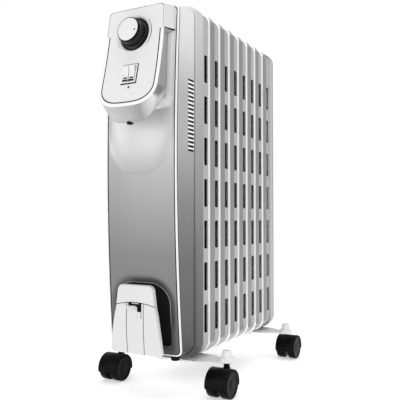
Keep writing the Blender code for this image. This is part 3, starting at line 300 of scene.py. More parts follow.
def moulded(name, shade, roughness, coat=0.0, scuffs=0.0):
    """Moulded plastic: fine grain, slight drift of gloss and, where asked, pale scuffs."""
    made = Finish(name, Coat_Roughness=0.15, Specular_IOR_Level=0.5 if shade > 0.1 else 0.05)
    drift = made.noise(9.0, 3.0)
    fine = made.noise(700.0)
    marks = made.step(made.noise(38.0, 5.0, (1.0, 3.0, 1.0)), 0.62, 0.78)
    tone = made.shade(grey(shade), 0.96 + drift * 0.05 + fine * 0.03)
    worn = made.blend(marks * scuffs, tone, grey(min(1.0, shade + 0.12)))
    made.feed(Base_Color=worn, Roughness=roughness - 0.05 + drift * 0.08 + marks * (0.2 * scuffs),
              Coat_Weight=coat + drift * 0.05)
    made.relief(fine * 0.7 + drift * 0.3, 0.2, 0.00015)
    return made.material


def polished(name, shade, roughness):
    """Plated metal with faint turning marks about the piece's length."""
    made = Finish(name, Metallic=1.0)
    marks = made.noise(2.0, 4.0, (30.0, 1400.0, 30.0))
    stains = made.noise(60.0, 3.0)
    made.feed(Base_Color=made.shade(grey(shade), 0.9 + stains * 0.14),
              Roughness=roughness - 0.04 + marks * 0.08 + stains * 0.06)
    made.relief(marks, 0.08, 0.0001)
    return made.material


def coloured(name, colour, roughness, metallic=0.0):
    """Small tinted parts, such as brass, phenolic resin and the pilot lens."""
    made = Finish(name, Metallic=metallic)
    drift = made.noise(25.0, 3.0)
    made.feed(Base_Color=made.shade((*colour, 1.0), 0.88 + drift * 0.2),
              Roughness=roughness - 0.05 + drift * 0.1)
    made.relief(made.noise(500.0), 0.15, 0.0002)
    return made.material


# The elements' enamel carries painted highlights on its strips and bends and painted shade in its folds.
ELEMENT_ENAMEL = enamel("element_enamel", 0.24, strip_highlight_gain=1.85, pressed=True)
# Near black painted shade for the elements' hidden faces, the insides of their sheets and the walls of
# their slots.
INNER_PAINTED_SHADE = enamel("inner_painted_shade", 0.008, roughness=0.8)
REAR_ENAMEL = enamel("rear_enamel", 0.07)
SIDE_ENAMEL = enamel("side_enamel", 0.5)
FOOT_ENAMEL = enamel("foot_enamel", 0.85)
# The silver stops below are a painted reflection, dark at the bottom and light at the top.
FASCIA_SILVER = silver("fascia_silver", [(0, 0.07), (0.12, 0.1), (0.26, 0.17), (0.36, 0.19), (0.46, 0.28),
                                         (0.56, 0.38), (0.62, 0.48), (0.95, 0.75)], fascia=True)
HOUSING_SILVER = silver("housing_silver", [(0, 0.015), (0.13, 0.03), (0.2, 0.06), (0.34, 0.11), (0.5, 0.25),
                                           (0.64, 0.47), (0.76, 0.5), (0.88, 0.8), (1, 0.95)])
COVER_SILVER = silver("cover_silver", [(0, 0.045), (0.14, 0.068), (0.26, 0.108), (0.38, 0.165),
                                       (0.55, 0.31), (0.8, 0.5), (1, 0.72)])
# The band's stops are a painted reflection across its underside.
BRUSHED_BAND = brushed("brushed_band", [(0, 0.5), (0.3, 0.46), (0.55, 0.38), (0.74, 0.28), (0.9, 0.6),
                                        (0.94, 0.7), (0.96, 0.25)], 0.4)
TRIM_GLOSS = moulded("trim_gloss", 0.85, 0.22, coat=0.2)
PANEL_SATIN = moulded("panel_satin", 0.72, 0.4, coat=0.05)
BRACKET_SATIN = moulded("bracket_satin", 0.66, 0.36, coat=0.05)
LIP_SATIN = moulded("lip_satin", 0.3, 0.35)
COVE_PLASTIC = moulded("cove_plastic", 0.02, 0.4)
CASTER_PLASTIC = moulded("caster_plastic", 0.004, 0.26, scuffs=0.02)
TYRE_PLASTIC = moulded("tyre_plastic", 0.004, 0.34, scuffs=0.04)
# Black plastic; the same finish also serves as painted shade inside the vents and housing, under the knob,
# under the switch frame and in the bracket's grooves.
BLACK_PLASTIC_AND_SHADE = moulded("black_plastic", 0.006, 0.45)
KNOB_CHROME = polished("smoked_chrome", 0.035, roughness=0.2)
ZINC = polished("zinc_plate", 0.62, roughness=0.3)
BRASS = coloured("turned_brass", (0.66, 0.5, 0.22), 0.3, metallic=1.0)
RESIN = coloured("phenolic_resin", (0.12, 0.09, 0.07), 0.5)
PILOT_LENS = coloured("smoked_lens", (0.14, 0.1, 0.08), 0.15)
# Near white: a painted highlight on the louvre bars.
LOUVRE_HIGHLIGHT = moulded("louvre_highlight", 0.95, 0.25, coat=0.2)


# ---- modelling ----------------------------------------------------------------------------------
def clear_selection():
    if bpy.context.object and bpy.context.object.mode != "OBJECT":
        bpy.ops.object.mode_set(mode="OBJECT")
    bpy.ops.object.select_all(action="DESELECT")


def take(name, *finishes):
    """Name the new piece and give it its finishes."""
    piece = bpy.context.object
    piece.name = piece.data.name = name
    for finish in finishes:
        piece.data.materials.append(finish)
    return piece


def grasp(piece):
    """Make a piece the only one selected, and active."""
    clear_selection()
    piece.select_set(True)
    bpy.context.view_layer.objects.active = piece


def choose(kind, test):
    """In edit mode, select the faces, edges or points that pass a test, and nothing else."""
    mesh = bpy.context.object.data
    bpy.ops.mesh.select_mode(type=kind)
    bpy.ops.mesh.select_all(action="DESELECT")
    shape = bmesh.from_edit_mesh(mesh)
    for item in {"VERT": shape.verts, "EDGE": shape.edges, "FACE": shape.faces}[kind]:
        if test(item):
            item.select_set(True)
    shape.select_flush_mode()
    bmesh.update_edit_mesh(mesh)


def close_up(piece, toward=None):
    """Merge doubled points and turn the faces outwards, or to look along a direction."""
    grasp(piece)
    bpy.ops.object.mode_set(mode="EDIT")
    bpy.ops.mesh.select_all(action="SELECT")
    bpy.ops.mesh.remove_doubles(threshold=0.00001)
    bpy.ops.mesh.normals_make_consistent(inside=False)
    bpy.ops.object.mode_set(mode="OBJECT")
    if toward is not None:
        facing = sum(face.area * face.normal.dot(Vector(toward)) for face in piece.data.polygons)
        if facing < 0:
            piece.data.flip_normals()
    return piece


def skin(name, rows, *finishes, closed=True, toward=None):
    """A surface through rows of points; each closed row joins its end to its start."""
    clear_selection()
    across = len(rows[0]) if closed else len(rows[0]) - 1
    bpy.ops.mesh.primitive_grid_add(x_subdivisions=across, y_subdivisions=len(rows) - 1, size=1)
    piece = take(name, *finishes)
    points = [point for row in rows for point in (row + row[:1] if closed else row)]
    piece.data.vertices.foreach_set("co", [number for point in points for number in point])
    return close_up(piece, toward)


def cap(piece, test):
    """Close the open rim whose points pass a test."""
    grasp(piece)
    bpy.ops.object.mode_set(mode="EDIT")
    choose("EDGE", lambda edge: edge.is_boundary and all(test(point.co) for point in edge.verts))
    bpy.ops.mesh.edge_face_add()
    bpy.ops.object.mode_set(mode="OBJECT")
    return piece


def modify(piece, kind, **settings):
    """Add a modifier and apply it."""
    grasp(piece)
    step = piece.modifiers.new(kind.lower(), kind)
    for key, value in settings.items():
        setattr(step, key, value)
    bpy.ops.object.modifier_apply(modifier=step.name)
    return piece


def wall(piece, thickness, inner=0):
    """Thicken a surface inwards; its inner faces take a later finish where asked."""
    return modify(piece, "SOLIDIFY", thickness=thickness, offset=-1.0, use_even_offset=True,
                  material_offset=inner)


def bevel(piece, width, segments=3, angle=30):
    """Round the edges that are sharper than an angle in degrees."""
    return modify(piece, "BEVEL", width=width, segments=segments, limit_method="ANGLE",
                  angle_limit=radians(angle), harden_normals=False)


def block(name, low, high, *finishes, round_off=0.0, segments=3):
    """A box between two corners with rounded edges."""
    clear_selection()
    low, high = Vector(low), Vector(high)
    bpy.ops.mesh.primitive_cube_add(size=1, location=(low + high) / 2, scale=high - low)
    bpy.ops.object.transform_apply(location=True, rotation=True, scale=True)
    piece = take(name, *finishes)
    if round_off:
        bevel(piece, round_off, segments)
    return piece


def prism(name, outline, low, high, *finishes, round_off=0.0):
    """A solid between two heights along Z with an outline of (x, y) points."""
    clear_selection()
    bpy.ops.mesh.primitive_circle_add(vertices=len(outline), fill_type="NGON")
    piece = take(name, *finishes)
    for point, (x, y) in zip(piece.data.vertices, outline):
        point.co = (x, y, low)
    bpy.ops.object.mode_set(mode="EDIT")
    bpy.ops.mesh.select_all(action="SELECT")
    bpy.ops.mesh.extrude_region_move(TRANSFORM_OT_translate={"value": (0, 0, high - low)})
    close_up(piece)
    return bevel(piece, round_off) if round_off else piece


def turned(name, profile, place, steps, *finishes, angle=360.0):
    """Spin a closed profile of (radius, height) points about the place's Z axis."""
    clear_selection()
    bpy.ops.mesh.primitive_circle_add(vertices=len(profile))
    piece = take(name, *finishes)
    for point, (radius, height) in zip(piece.data.vertices, profile):
        point.co = (radius, 0.0, height)
    bpy.ops.object.mode_set(mode="EDIT")
    bpy.ops.mesh.select_all(action="SELECT")
    bpy.ops.mesh.spin(steps=steps, angle=radians(angle), center=(0, 0, 0), axis=(0, 0, 1))
    bpy.ops.object.mode_set(mode="OBJECT")
    piece.data.transform(place)
    return close_up(piece)


def carve(piece, *cutters):
    """Cut the cutters out of a piece and drop them."""
    for cutter in cutters:
        modify(piece, "BOOLEAN", operation="DIFFERENCE", solver="EXACT", object=cutter)
        bpy.data.objects.remove(cutter)
    return piece


def gather(name, parts):
    """Join separate solids into one piece."""
    clear_selection()
    for part in parts:
        part.select_set(True)
    bpy.context.view_layer.objects.active = parts[0]
    bpy.ops.object.join()
    parts[0].name = parts[0].data.name = name
    return parts[0]


def twin(piece, name, shift):
    """A moved copy with its own mesh."""
    mesh = piece.data.copy()
    mesh.transform(Matrix.Translation(Vector(shift)))
    copy = bpy.data.objects.new(name, mesh)
    mesh.name = name
    bpy.context.collection.objects.link(copy)
    return copy


def everywhere(point):
    return True


def paint(piece, test, finish=1):
    """Give the faces whose centres pass a test another of the piece's finishes."""
    for face in piece.data.polygons:
        if test(face.center):
            face.material_index = finish
    return piece


def settle(piece, slot, *replaced, body=BODY, angle=32):
    """Smooth a finished piece and fasten it to its body."""
    grasp(piece)
    bpy.ops.object.shade_smooth_by_angle(angle=radians(angle))
    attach(piece, body)
    if replaced:
        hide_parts(*replaced)
    return piece


# ---- outlines and curves ------------------------------------------------------------------------
def mm(points):
    """Pairs of millimetres as metres."""
    return [(first * MM, second * MM) for first, second in points]


def ease(value):
    """Smooth step from 0 to 1."""
    value = min(1.0, max(0.0, value))
    return value * value * (3 - 2 * value)


def arc(centre, radius, start, end, steps):
    """Points of an arc between two angles in degrees."""
    return [(centre[0] + radius * cos(radians(start + (end - start) * step / steps)),
             centre[1] + radius * sin(radians(start + (end - start) * step / steps)))
            for step in range(steps + 1)]


def rounded(half, top, bottom, top_corner, bottom_corner, steps=8, sides=1):
    """Closed outline of a rounded rectangle, from the top edge down the right side and back."""
    right = arc((half - top_corner, top - top_corner), top_corner, 90, 0, steps)
    start, end = top - top_corner, bottom + bottom_corner
    right += [(half, start + (end - start) * step / sides) for step in range(1, sides)]
    right += arc((half - bottom_corner, end), bottom_corner, 0, -90, steps)
    return right + [(-x, z) for x, z in reversed(right)]


def edge_y(z):
    """The housing's front edge: one shallow arc in side view."""
    return BULGE_Y + BULGE_RADIUS - sqrt(BULGE_RADIUS ** 2 - (z - BULGE_Z) ** 2)


def fascia_y(x, z):
    """The bowed fascia, without its dish."""
    return edge_y(z) - FASCIA_BOW * (1 - (x / FASCIA_HALF) ** 2)


def panel_y(z):
    """The console's leaning, slightly curved face."""
    drop = PANEL_TOP_Z - z
    return PANEL_TOP_Y - PANEL_LEAN * drop - PANEL_SWEEP * drop ** 2


def face_place(z, height=0.0, x=0.0):
    """A place on the console's face, its Z axis along the face's normal, its Y axis up."""
    slope = PANEL_LEAN + 2 * PANEL_SWEEP * (PANEL_TOP_Z - z)
    normal = Vector((0.0, -1.0, slope)).normalized()
    up = Vector((0.0, normal.z, -normal.y))
    turn = Matrix((up.cross(normal), up, normal)).transposed().to_4x4()
    return Matrix.Translation(Vector((x, panel_y(z), z)) + normal * height) @ turn


def along_x(place):
    """A place whose Z axis looks along +X."""
    return Matrix.Translation(Vector(place)) @ Matrix.Rotation(radians(90), 4, "Y")


def outside(x, z, half, top, bottom, corner):
    """Distance from a point to a rounded rectangle, negative inside it."""
    middle = (top + bottom) / 2
    past_x = abs(x) - (half - corner)
    past_z = abs(z - middle) - ((top - bottom) / 2 - corner)
    if past_x > 0 and past_z > 0:
        return hypot(past_x, past_z) - corner
    return max(past_x, past_z) - corner


# ---- radiator elements --------------------------------------------------------------------------
def corner_half(z, half, top, bottom, top_corner, bottom_corner):
    """Half width of a rounded rectangle at a height."""
    if z > top - top_corner:
        reach = z - (top - top_corner)
        return half - top_corner + sqrt(max(0.0, top_corner ** 2 - reach ** 2))
    if z < bottom + bottom_corner:
        reach = (bottom + bottom_corner) - z
        return half - bottom_corner + sqrt(max(0.0, bottom_corner ** 2 - reach ** 2))
    return half


def element_face_point(x, z, face_y):
    """The element's face: three raised oil channels that run into the round headers."""
    rise = 0.0
    for centre in CHANNELS:
        ends = min(CHANNEL_TOP_Z - z, z - CHANNEL_LOW_Z)
        side = CHANNEL_HALF - abs(x - centre)
        rise = max(rise, ease(min(side / (4.0 * MM), ends / (8.0 * MM))))
    for header in HEADERS:
        rise = max(rise, ease((24.0 * MM - hypot(x, z - header)) / (6.0 * MM)))
    return Vector((x, face_y - CHANNEL_DEPTH * 0.8 * rise, z))


def pressed_element(name, number):
    """One pressed element: face with oil channels, bent band, slotted strip behind it."""
    face_y = FIRST_FACE_Y + (number - 1) * PITCH
    base = BAND_BEND
    half, top, bottom = BODY_HALF - base, BODY_TOP - base, BODY_BOTTOM + base
    top_corner, bottom_corner = TOP_CORNER - base, BOTTOM_CORNER - base
    heights = [top - top_corner * (1 - cos(radians(90 * step / 8))) for step in range(9)]
    heights += [top - top_corner + (bottom + bottom_corner - top + top_corner) * step / 40
                for step in range(1, 40)]
    heights += [bottom + bottom_corner * (1 - sin(radians(90 * step / 10))) for step in range(11)]
    columns = [-1 + step / 20 for step in range(41)]
    rows = []
    for z in heights:
        reach = corner_half(z, half, top, bottom, top_corner, bottom_corner)
        rows.append([element_face_point(reach * share, z, face_y) for share in columns])
    face = skin(name, rows, ELEMENT_ENAMEL, INNER_PAINTED_SHADE, closed=False, toward=(0, -1, 0))
    # Painted shade: the hidden middle of each element's face is near black.
    paint(face, lambda centre: abs(centre.x) < BODY_HALF - 7 * MM)
    ring = [Vector((point.x, 0, point.z)) for point in rows[0]]
    ring += [Vector((row[-1].x, 0, row[-1].z)) for row in rows[1:]]
    ring += [Vector((point.x, 0, point.z)) for point in reversed(rows[-1][:-1])]
    ring += [Vector((row[0].x, 0, row[0].z)) for row in reversed(rows[1:-1])]

    def outward(point):
        centre_x = max(-(half - top_corner), min(half - top_corner, point.x))
        low, high = bottom + bottom_corner, top - top_corner
        if point.z < low:
            centre_x = max(-(half - bottom_corner), min(half - bottom_corner, point.x))
        centre_z = max(low, min(high, point.z))
        if point.z > top - 0.01 * MM or point.z < bottom + 0.01 * MM:
            centre_x = point.x
        return (point - Vector((centre_x, 0, centre_z))).normalized()

    if number == 1:
        section = [(base, 0.0), (STRIP_STEP, 2.2 * MM), (STRIP_STEP, PITCH - 1.0 * MM)]
    else:
        section = [(base - x, y) for x, y in arc((0.0, base), base, -90, 0, 5)]
        fold = 0.8 * MM
        section += [(x, BAND_DEPTH - fold + y) for y, x in ((0.0, 0.0), (0.5 * MM, 0.15 * MM),
                                                            (fold, 0.6 * MM))]
        section += [(STRIP_STEP, BAND_DEPTH + 0.2 * MM), (STRIP_STEP, PITCH - 1.0 * MM)]
    band_rows = [[Vector((0, face_y + depth, 0)) + point + outward(point) * (base - inset)
                  for point in ring] for inset, depth in section]
    band = skin(f"{name}_band", band_rows, ELEMENT_ENAMEL, INNER_PAINTED_SHADE)
    piece = gather(name, [face, band])
    grasp(piece)
    bpy.ops.object.mode_set(mode="EDIT")
    edge_zone = 6.0 * MM
    choose("FACE", lambda item: abs(item.calc_center_median().x) < FLANGE_END_X
           and item.calc_center_median().y > face_y + BAND_BEND
           and not BODY_BOTTOM + edge_zone < item.calc_center_median().z < BODY_TOP - edge_zone)
    bpy.ops.mesh.delete(type="FACE")
    bpy.ops.mesh.select_all(action="SELECT")
    bpy.ops.mesh.remove_doubles(threshold=0.00002)
    bpy.ops.mesh.normals_make_consistent(inside=False)
    bpy.ops.object.mode_set(mode="OBJECT")
    facing = sum(item.area * item.normal.y for item in piece.data.polygons
                 if item.center.y < face_y + 0.5 * MM)
    if facing > 0:
        piece.data.flip_normals()
    # The sheet's inner faces take the near black painted shade.
    wall(piece, SHEET, inner=1)
    return piece


def slot_cutter(face_y):
    """Seven round-ended slots through both strips."""
    middle_y = face_y + (PITCH + BAND_DEPTH) / 2
    corner = 2.6 * MM
    cutters = []
    for number in range(SLOTS):
        top = SLOT_TOP_Z - number * SLOT_PITCH
        outline = rounded(SLOT_WIDTH / 2, top, top - SLOT_LENGTH, corner, corner, 5)
        solid = prism("slot", [(z, middle_y + y) for y, z in outline], -0.14, 0.14, ELEMENT_ENAMEL,
                      INNER_PAINTED_SHADE)
        # Painted shade: the slot walls are near black.
        paint(solid, everywhere)
        solid.data.transform(Matrix.Rotation(radians(-90), 4, "Y"))
        cutters.append(solid)
    return gather("slots", cutters)


def header_collars(face_y):
    """The short tubes that join an element's headers to the next element's."""
    inner, outer = 14.0 * MM, 15.2 * MM
    near, far = 1.0 * MM, PITCH - 6.0 * MM
    profile = [(inner, near), (outer, near), (outer, far), (inner, far)]
    collars = []
    for header in HEADERS:
        place = Matrix.Translation((0, face_y, header)) @ Matrix.Rotation(radians(-90), 4, "X")
        collars.append(turned("collar", profile, place, 36, ELEMENT_ENAMEL, INNER_PAINTED_SHADE))
    return collars


def radiator_elements():
    """Elements 1 and 2, and the twins of element 2."""
    for number in (1, 2):
        face_y = FIRST_FACE_Y + (number - 1) * PITCH
        name = f"pressed_element_{number}"
        pressed = carve(pressed_element(name, number), slot_cutter(face_y))
        pressed = gather(name, [pressed] + header_collars(face_y))
        if number == 2:
            for later in range(3, 9):
                copy = twin(pressed, f"pressed_element_{later}", (0, PITCH * (later - 2), 0))
                settle(copy, "element_steel", f"radiator_element_{later}")
        settle(pressed, "element_steel", f"radiator_element_{number}")


# ---- covers and housing -------------------------------------------------------------------------
def body_loop(inset, y):
    """A loop of the radiator's outline, inset from it."""
    return [Vector((x, y, z)) for x, z in
            rounded(BODY_HALF - inset, BODY_TOP - inset, BODY_BOTTOM + inset, TOP_CORNER - inset,
                    BOTTOM_CORNER - inset, 10, 12)]


def end_covers():
    """The silver front cover and the dark rear cover, which has a shallow pressed field."""
    low, high = front_cover_low.y, front_cover_high.y
    bend = 4.0 * MM
    rows = [body_loop(0.5 * MM, high), body_loop(0.0, high - 0.6 * MM)]
    rows += [body_loop(bend - x, low + bend + y) for x, y in arc((0.0, 0.0), bend, 0, -90, 6)]
    front = cap(skin("front_cover_shell", rows, COVER_SILVER), lambda point: point.y < low + 0.1 * MM)
    close_up(front)
    settle(wall(front, 1.0 * MM), "silver_shell", "front_end_cover")
    low, high = rear_cover_low.y, rear_cover_high.y
    bend = 6.0 * MM
    field, dip = 16.0 * MM, 1.6 * MM
    rows = [body_loop(0.5 * MM, low), body_loop(0.0, low + 0.6 * MM),
            body_loop(0.0, high - bend - 1.5 * MM)]
    rows += [body_loop(bend - x, high - bend + y) for x, y in arc((0.0, 0.0), bend, 0, 90, 8)]
    rows += [body_loop(field - 1.0 * MM, high), body_loop(field, high - 0.3 * MM),
             body_loop(field + 2.0 * MM, high - dip + 0.2 * MM), body_loop(field + 3.0 * MM, high - dip)]
    rear = cap(skin("rear_cover_shell", rows, REAR_ENAMEL, SIDE_ENAMEL),
               lambda point: point.y > high - dip - 0.1 * MM)
    close_up(rear)
    paint(rear, lambda centre: centre.y < high - bend - 1.0 * MM)
    settle(wall(rear, 1.0 * MM), "rear_grey", "rear_end_cover")


def housing_loop(share):
    """Outline of the housing between its front edge (0) and its rear edge (1)."""
    top = HOUSING_TOP_FRONT + (HOUSING_TOP - HOUSING_TOP_FRONT) * ease(share * 1.15)
    outline = rounded(HOUSING_HALF, top, HOUSING_BOTTOM, (10 + 7 * share) * MM, (10 + 4 * share) * MM,
                      8, 44)
    return [Vector((x, (edge_y(z) + HOUSING_SET_BACK) * (1 - share) + HOUSING_REAR_Y * share, z))
            for x, z in outline]


def control_housing():
    """Side, top and bottom walls with vents, and the louvre bars between the vents, near white as a painted
    highlight.
    """
    rear_edge = [Vector((point.x * (1 - 0.8 * MM / HOUSING_HALF), HOUSING_REAR_Y, point.z))
                 for point in housing_loop(1.0)]
    shares = [0.0, 0.028] + [step / 10 for step in range(1, 10)] + [0.965]
    rows = [housing_loop(share) for share in shares] + [rear_edge]
    sheet = skin("housing_shell", rows, HOUSING_SILVER, BLACK_PLASTIC_AND_SHADE)
    paint(sheet, lambda centre: centre.y - edge_y(centre.z) < HOUSING_SET_BACK + 1.0 * MM
          or centre.y > HOUSING_REAR_Y - 1.2 * MM)
    # The shell's inner faces take black: painted shade inside the housing, seen through the vents.
    shell = wall(sheet, 2.0 * MM, inner=1)
    cutters, bars = [], []
    for number in range(VENTS):
        top = VENT_TOP_Z - number * VENT_PITCH
        vent = block("vent", (-0.08, VENT_FRONT_Y, top - VENT_HEIGHT), (0.08, VENT_REAR_Y, top),
                     HOUSING_SILVER, BLACK_PLASTIC_AND_SHADE, round_off=0.7 * MM, segments=2)
        # Painted shade: the vents' cut walls are black.
        cutters.append(paint(vent, everywhere))
        bar_top = top - VENT_HEIGHT - 0.2 * MM
        for side in (-1, 1):
            inner, outer = side * (HOUSING_HALF - 0.6 * MM), side * (HOUSING_HALF + 0.7 * MM)
            low = (min(inner, outer), VENT_FRONT_Y, bar_top - VENT_PITCH + VENT_HEIGHT + 0.5 * MM)
            high = (max(inner, outer), VENT_REAR_Y, bar_top)
            if number < VENTS - 1:
                # The louvre bars are near white as a painted highlight.
                bars.append(block("bar", low, high, LOUVRE_HIGHLIGHT, round_off=0.55 * MM))
    carve(shell, gather("vents", cutters))
    settle(shell, "silver_shell", "control_housing")
    settle(gather("vent_louvres", bars), "trim_white")


def bead_loop(inset, forward, corner):
    """A loop along the housing's front edge, inset from its walls."""
    outline = rounded(HOUSING_HALF - inset, HOUSING_TOP_FRONT - inset, HOUSING_BOTTOM + inset, corner,
                      corner, 8, 60)
    return [Vector((x, edge_y(z) + forward, z)) for x, z in outline]


def trim_bead():
    """The gloss bead between fascia and housing, half round in section, and its dark seat."""
    corner, thickness = 10.4 * MM, 1.3 * MM
    section = [(0.1 * MM, 2.0 * MM), (0.0, 0.4 * MM)]
    section += [(thickness - x, y) for x, y in arc((0.0, -0.2 * MM), thickness, 0, -180, 8)]
    section += mm([(2.6, 0.4), (2.5, 2.0), (1.3, 2.1)])
    rows = [bead_loop(inset - 0.2 * MM, forward, corner - inset)
            for inset, forward in section + section[:1]]
    settle(skin("gloss_bead", rows, TRIM_GLOSS), "trim_white", "trim_bead")
    section = mm([(-0.1, 2.2), (-0.1, 1.2), (0.2, 0.9), (2.4, 0.0), (3.0, 0.0), (3.0, 2.2)])
    rows = [bead_loop(inset, forward, corner) for inset, forward in section + section[:1]]
    settle(skin("bead_seat", rows, BLACK_PLASTIC_AND_SHADE), "black_plastic")


def dish_shift(x, z):
    """How far the fascia's rows rise towards the sides, so that one row is the dish's edge."""
    across = min(1.0, abs(x) / DISH_HALF)
    weight = ease((z - 270 * MM) / (DISH_LOW_Z - 272 * MM)) * (1 - ease((z - DISH_LOW_Z) / (95 * MM)))
    return DISH_RISE * across ** 3 * weight


def fascia_point(share, z, half):
    """A point of the fascia: its bow, the finger dish and the soft roll round the cord cove."""
    x = half * share
    height = z + dish_shift(x, z)
    across = min(1.0, abs(x) / (62 * MM))
    inside = (z - DISH_LOW_Z) / (64 * MM)
    depth = 0.0
    if inside > 0:
        depth = 1 - (1 - min(1.0, inside)) ** 2.2
    depth *= (1 - ease((height - DISH_ROOF_Z) / (14 * MM))) * (1 - across ** 5)
    around = outside(x, height, COVE_HALF, COVE_TOP, COVE_BOTTOM - 4 * MM, COVE_ARCH)
    roll = ease(1 - around / (11 * MM)) * ease((height - 96 * MM) / (40 * MM))
    return Vector((x, fascia_y(x, height) + DISH_DEPTH * depth + 2.6 * MM * roll, height))


def fascia_half(z):
    """Half width of the fascia at a height."""
    return corner_half(z, FASCIA_HALF, FASCIA_TOP, FASCIA_BOTTOM, FASCIA_CORNER, FASCIA_CORNER)


def fascia():
    """Bowed shell with the finger dish, cut out for the cord cove and behind the console."""
    heights = [FASCIA_TOP - FASCIA_CORNER * (1 - cos(radians(90 * step / 5))) for step in range(6)]
    upper, lower = FASCIA_TOP - FASCIA_CORNER, FASCIA_BOTTOM + FASCIA_CORNER
    stops = [(upper, DISH_ROOF_Z, 34), (DISH_ROOF_Z, DISH_LOW_Z, 44), (DISH_LOW_Z, 230 * MM, 24),
             (230 * MM, lower, 56)]
    for start, end, steps in stops:
        heights += [start + (end - start) * step / steps for step in range(1, steps + 1)]
    heights += [lower - FASCIA_CORNER * sin(radians(90 * step / 5)) for step in range(1, 6)]
    rows = []
    for z in heights:
        half = fascia_half(z)
        joint = 1 - 1.7 * MM / half
        shares = [-1.0, -joint] + [joint * step / 32 for step in range(-31, 32)] + [joint, 1.0]
        rows.append([fascia_point(share, z, half) for share in shares])
    shell = skin("fascia_shell", rows, FASCIA_SILVER, BLACK_PLASTIC_AND_SHADE, closed=False, toward=(0, -1, 0))
    paint(shell, lambda centre: abs(centre.x) > fascia_half(centre.z) - 1.3 * MM)
    wall(shell, 2.0 * MM)
    arch = rounded(COVE_HALF, COVE_TOP, COVE_BOTTOM, COVE_ARCH, 8 * MM, 12)
    cutter = prism("arch", arch, -BULGE_Y - 0.06, -BULGE_Y + 0.06)
    cutter.data.transform(Matrix.Rotation(radians(90), 4, "X"))
    opening = block("opening", (-40 * MM, BULGE_Y - 0.04, 480 * MM),
                    (40 * MM, BULGE_Y + 0.06, 608 * MM))
    carve(shell, cutter, opening)
    settle(shell, "silver_shell", "front_fascia")


# ---- console ------------------------------------------------------------------------------------
def console_outline(inset):
    """The console's outline, as (x, z) points down the right side and up the left side."""
    half = CONSOLE_HALF - inset
    top, bottom = PANEL_TOP_Z + 0.5 * MM - inset, CONSOLE_BOTTOM + inset
    corner = 7.0 * MM
    right = [(0.0, top), (half * 0.4, top)]
    right += arc((half - corner - 2.5 * MM, top - corner), corner, 90, 0, 7)
    right += [(half - taper * MM, z) for taper, z in
              ((2.2, 600 * MM), (1.3, 585 * MM), (1.0, 580 * MM), (0.95, GROOVE_HIGH_Z),
               (0.95, GROOVE_LOW_Z), (0.9, 575 * MM), (0.8, SHOULDER_Z))]
    right += [(half - 0.8 * MM * (1 - step / 4), SHOULDER_Z + (520 * MM - SHOULDER_Z) * step / 4)
              for step in range(1, 5)]
    right += [(half, 505 * MM), (half, CURVE_Z)]
    for step in range(1, 31):
        angle = radians(3 * step)
        x = half * cos(angle) ** 0.62 if step < 30 else 0.0
        right.append((x, CURVE_Z - (CURVE_Z - bottom) * sin(angle)))
    return right + [(-x, z) for x, z in reversed(right[1:-1])]


def face_row(inset, upper, sunk):
    """A loop on the face at one inset below the notches and another above them."""
    low, high = console_outline(inset * MM), console_outline(upper * MM)
    line = [above if below[1] > NOTCH_Z else below for below, above in zip(low, high)]
    return [Vector((x, panel_y(z) + sunk * MM, z)) for x, z in line]


def band_foot(x, z):
    """Where the band ends: on the fascia beside the panel, at the chin below it."""
    low = ease((500 * MM - z) / (500 * MM - CONSOLE_BOTTOM))
    shoulder = ease((z - 574.5 * MM) / (4.5 * MM))
    foot_x = x * (50 * MM * (1 - shoulder) + 63.4 * MM * shoulder) / CONSOLE_HALF
    y = (fascia_y(foot_x, z) - 0.6 * MM) * (1 - low) + CHIN_Y * low
    return Vector((foot_x, y, z - (CONSOLE_BOTTOM - CHIN_Z) * low)), low


